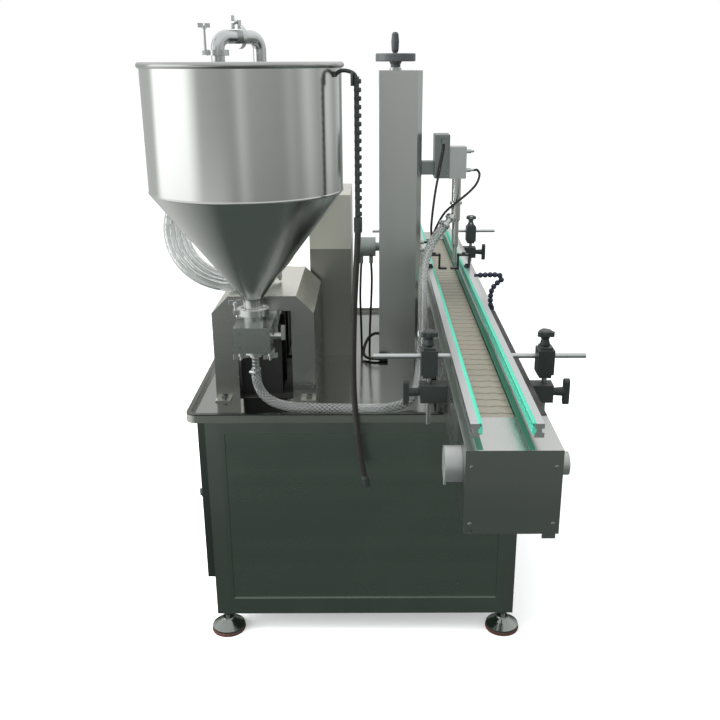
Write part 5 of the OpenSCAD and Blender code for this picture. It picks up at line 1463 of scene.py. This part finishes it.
@dataclass
class Conveyor(Assembly):
    """Conveyor frame, end boxes, drive and the flat-top chain.

    Attributes:
        pad: Lowest and highest corner of the black strip laid on the deck beside the right rail.
        middle: X of the chain's middle.
        width: Width of a slat.
        shaft: Distance of each shaft from the middle of the conveyor.
        axle: Height of the shafts.
        wrap: Radius of the chain's inner face round a shaft.
        thick: Thickness of a slat.
        count: Number of slats.
        eyes: X of the middles of a slat's hinge eyes.
    """

    pad: tuple[Point, Point] = ((343, -930, 865.9), (379.4, -146, 867.4))
    middle: float = 272.0
    width: float = 82.6
    shaft: float = 1025.0
    axle: float = 804.0
    wrap: float = 52.0
    thick: float = 6.0
    count: int = 116
    eyes: Sequence[float] = (-30, 0, 30)

    def build(self) -> None:
        """Dresses the frame and lays the slats."""
        self.shop.dress(STEEL_Y, "conveyor_frame")
        # The end boxes' sides are painted darker than their tops: painted shade.
        self.shop.dress_in_parts("end_boxes", "end_box_painted_shade_sides", SHADED_BOX_STEEL, (STEEL_Y, facing_up(0.6, 0.8)))
        # A black strip laid on the right of the deck, beside the rail.
        self.piece(Solid().box(*self.pad, 0.5), "dark_deck_strip", SEAL_RUBBER)
        self.shop.dress(GREEN_WEAR, "wear_strips")
        self.shop.dress(PALE_CASTING, "shaft_bearings")
        self.shop.dress(CAST_METAL, "gearmotor")
        self.shop.dress(BRIGHT_STEEL, "drive_shaft", "idler_shaft")
        self.shop.dress(SCREW_STEEL, "screws")
        chain = Solid()
        for k in range(self.count):
            self._slat(chain, self._seat(k))
        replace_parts(self.piece(chain, "flat_top_chain", SLAT_PLASTIC), "conveyor_chain")

    def _seat(self, index: int) -> Matrix:
        """Gives where one slat sits on the loop, its middle on the pitch line.

        Args:
            index: Number of the slat.

        Returns:
            Matrix with Y along the chain and Z out of the loop.
        """
        reach, radius = self.shaft, self.wrap + self.thick / 2
        straight, bend = 2 * reach, math.pi * radius
        s = (index + 0.5) * (2 * straight + 2 * bend) / self.count
        if s < straight:
            y, z, a = s - reach, radius, 0.0
        elif s < straight + bend:
            a = (s - straight) / radius
            y, z = reach + radius * math.sin(a), radius * math.cos(a)
        elif s < 2 * straight + bend:
            y, z, a = reach - (s - straight - bend), -radius, math.pi
        else:
            a = math.pi + (s - 2 * straight - bend) / radius
            y, z = -reach + radius * math.sin(a), radius * math.cos(a)
        return Matrix.Translation((self.middle, y, self.axle + z)) @ Matrix.Rotation(-a, 4, "X")

    def _slat(self, chain: Solid, seat: Matrix) -> None:
        """Adds one slat with its hinge eyes.

        Args:
            chain: Mesh that it goes in.
            seat: Where it sits.
        """
        half, t = self.width / 2, self.thick / 2
        plate = [(-half, -17.4), (-24, -17.4), (-24, -14), (-9, -14), (-9, -17.4), (9, -17.4), (9, -14),
                 (24, -14), (24, -17.4), (half, -17.4), (half, 18.2), (24.6, 18.2), (23.4, 21.4), (9.6, 21.4),
                 (8.4, 18.2), (-8.4, 18.2), (-9.6, 21.4), (-23.4, 21.4), (-24.6, 18.2), (-half, 18.2)]
        chain.prism(plate, -0.6, t, 0.5, seat)
        for x in self.eyes:
            chain.box((x - 5, -16, -t + 0.2), (x + 5, 16, -0.4), 0.4, seat)


@dataclass
class GuideRails(Assembly):
    """Guide rails with their inserts, posts, clamps and knobs.

    Attributes:
        posts: X and Y of the upright posts.
        post_radius: Radius of a post, with a little over.
        lip: X of the left and the right insert's lip.
        gate: Y of the cranked brackets beside the lane.
        bars: Reach from the rail and height of two corners of each bar of a bracket.
    """

    posts: Sequence[Pair] = ((154, -677), (154, 900), (422, -677), (422, 900))
    post_radius: float = 6.1
    lip: Pair = (218.2, 318.2)
    gate: float = 200.0
    bars: Sequence[tuple[Pair, Pair]] = (
        ((-9, 917.9), (9, 924)), ((-9, 922), (-3, 962)), ((-9, 956), (33, 962)), ((27, 912), (33, 962)),
        ((27, 912), (54, 918)))

    def build(self) -> None:
        """Dresses the rails and adds the inserts' lips and the brackets."""
        posts = near_posts(self.posts, self.post_radius)
        for side in ("left", "right"):
            self.shop.dress(ALUMINIUM, f"rail_{side}")
            self.shop.dress(GREEN_SLIDE, f"insert_{side}")
            self.shop.dress_in_parts(f"supports_{side}", "steel_post_and_black_clamp", BLACK_PLASTIC,
                                     (ROD_STEEL, posts))
            self.shop.dress(BLACK_PLASTIC, f"knob_top_{side}", f"knob_side_{side}")
        self.shop.dress(BLACK_PLASTIC, "rail_brackets")
        self.shop.dress(BLUE_PLASTIC, "blow_hose")
        for side, x, body in zip(("left", "right"), self.lip, (Body.LEFT_RAIL, Body.RIGHT_RAIL)):
            lip = Solid().box((x, -1094, 917.9), (x + 7.6, 1094, 918.5), 0.2)
            self.piece(lip, f"insert_lip_{side}", GREEN_SLIDE, body)
        self._bracket("cranked_bracket_left", 212, 1, Body.LEFT_RAIL)
        self._bracket("cranked_bracket_right", 332, -1, Body.RIGHT_RAIL)

    def _bracket(self, name: str, x: float, way: int, body: Body) -> None:
        """Makes one cranked bracket on a rail.

        Args:
            name: Name of the piece.
            x: Middle of the rail.
            way: 1 where it reaches towards more X, otherwise -1.
            body: Rail that it rides on.
        """
        y = self.gate
        bracket = Solid()
        for low, high in self.bars:
            near, far = sorted((x + way * low[0], x + way * high[0]))
            bracket.box((near, y - 9, low[1]), (far, y + 9, high[1]), 1.0)
        bracket.rod((x + way * 2, y, 923.5), (x + way * 2, y, 929), 5, 6, 0.6)
        bracket.rod((x + way * 12, y, 961.5), (x + way * 12, y, 967), 6, 24, 1.0)
        self.piece(bracket, name, BLACK_PLASTIC, body)


def main() -> None:
    """Builds the studio and every sub-assembly in order."""
    logging.basicConfig(level=logging.INFO, format="%(name)s: %(message)s")
    shop = FinishShop()
    Studio().build()
    for kind in (ProductHose, InfeedHose, SensorStrap, AirTubes, Cabinet, PumpSide, Hopper, ControlBox,
                 LiftHead, Conveyor, GuideRails):
        kind(shop).build()
        LOG.info("%s built", kind.__name__)


if __name__ == "__main__":
    main()
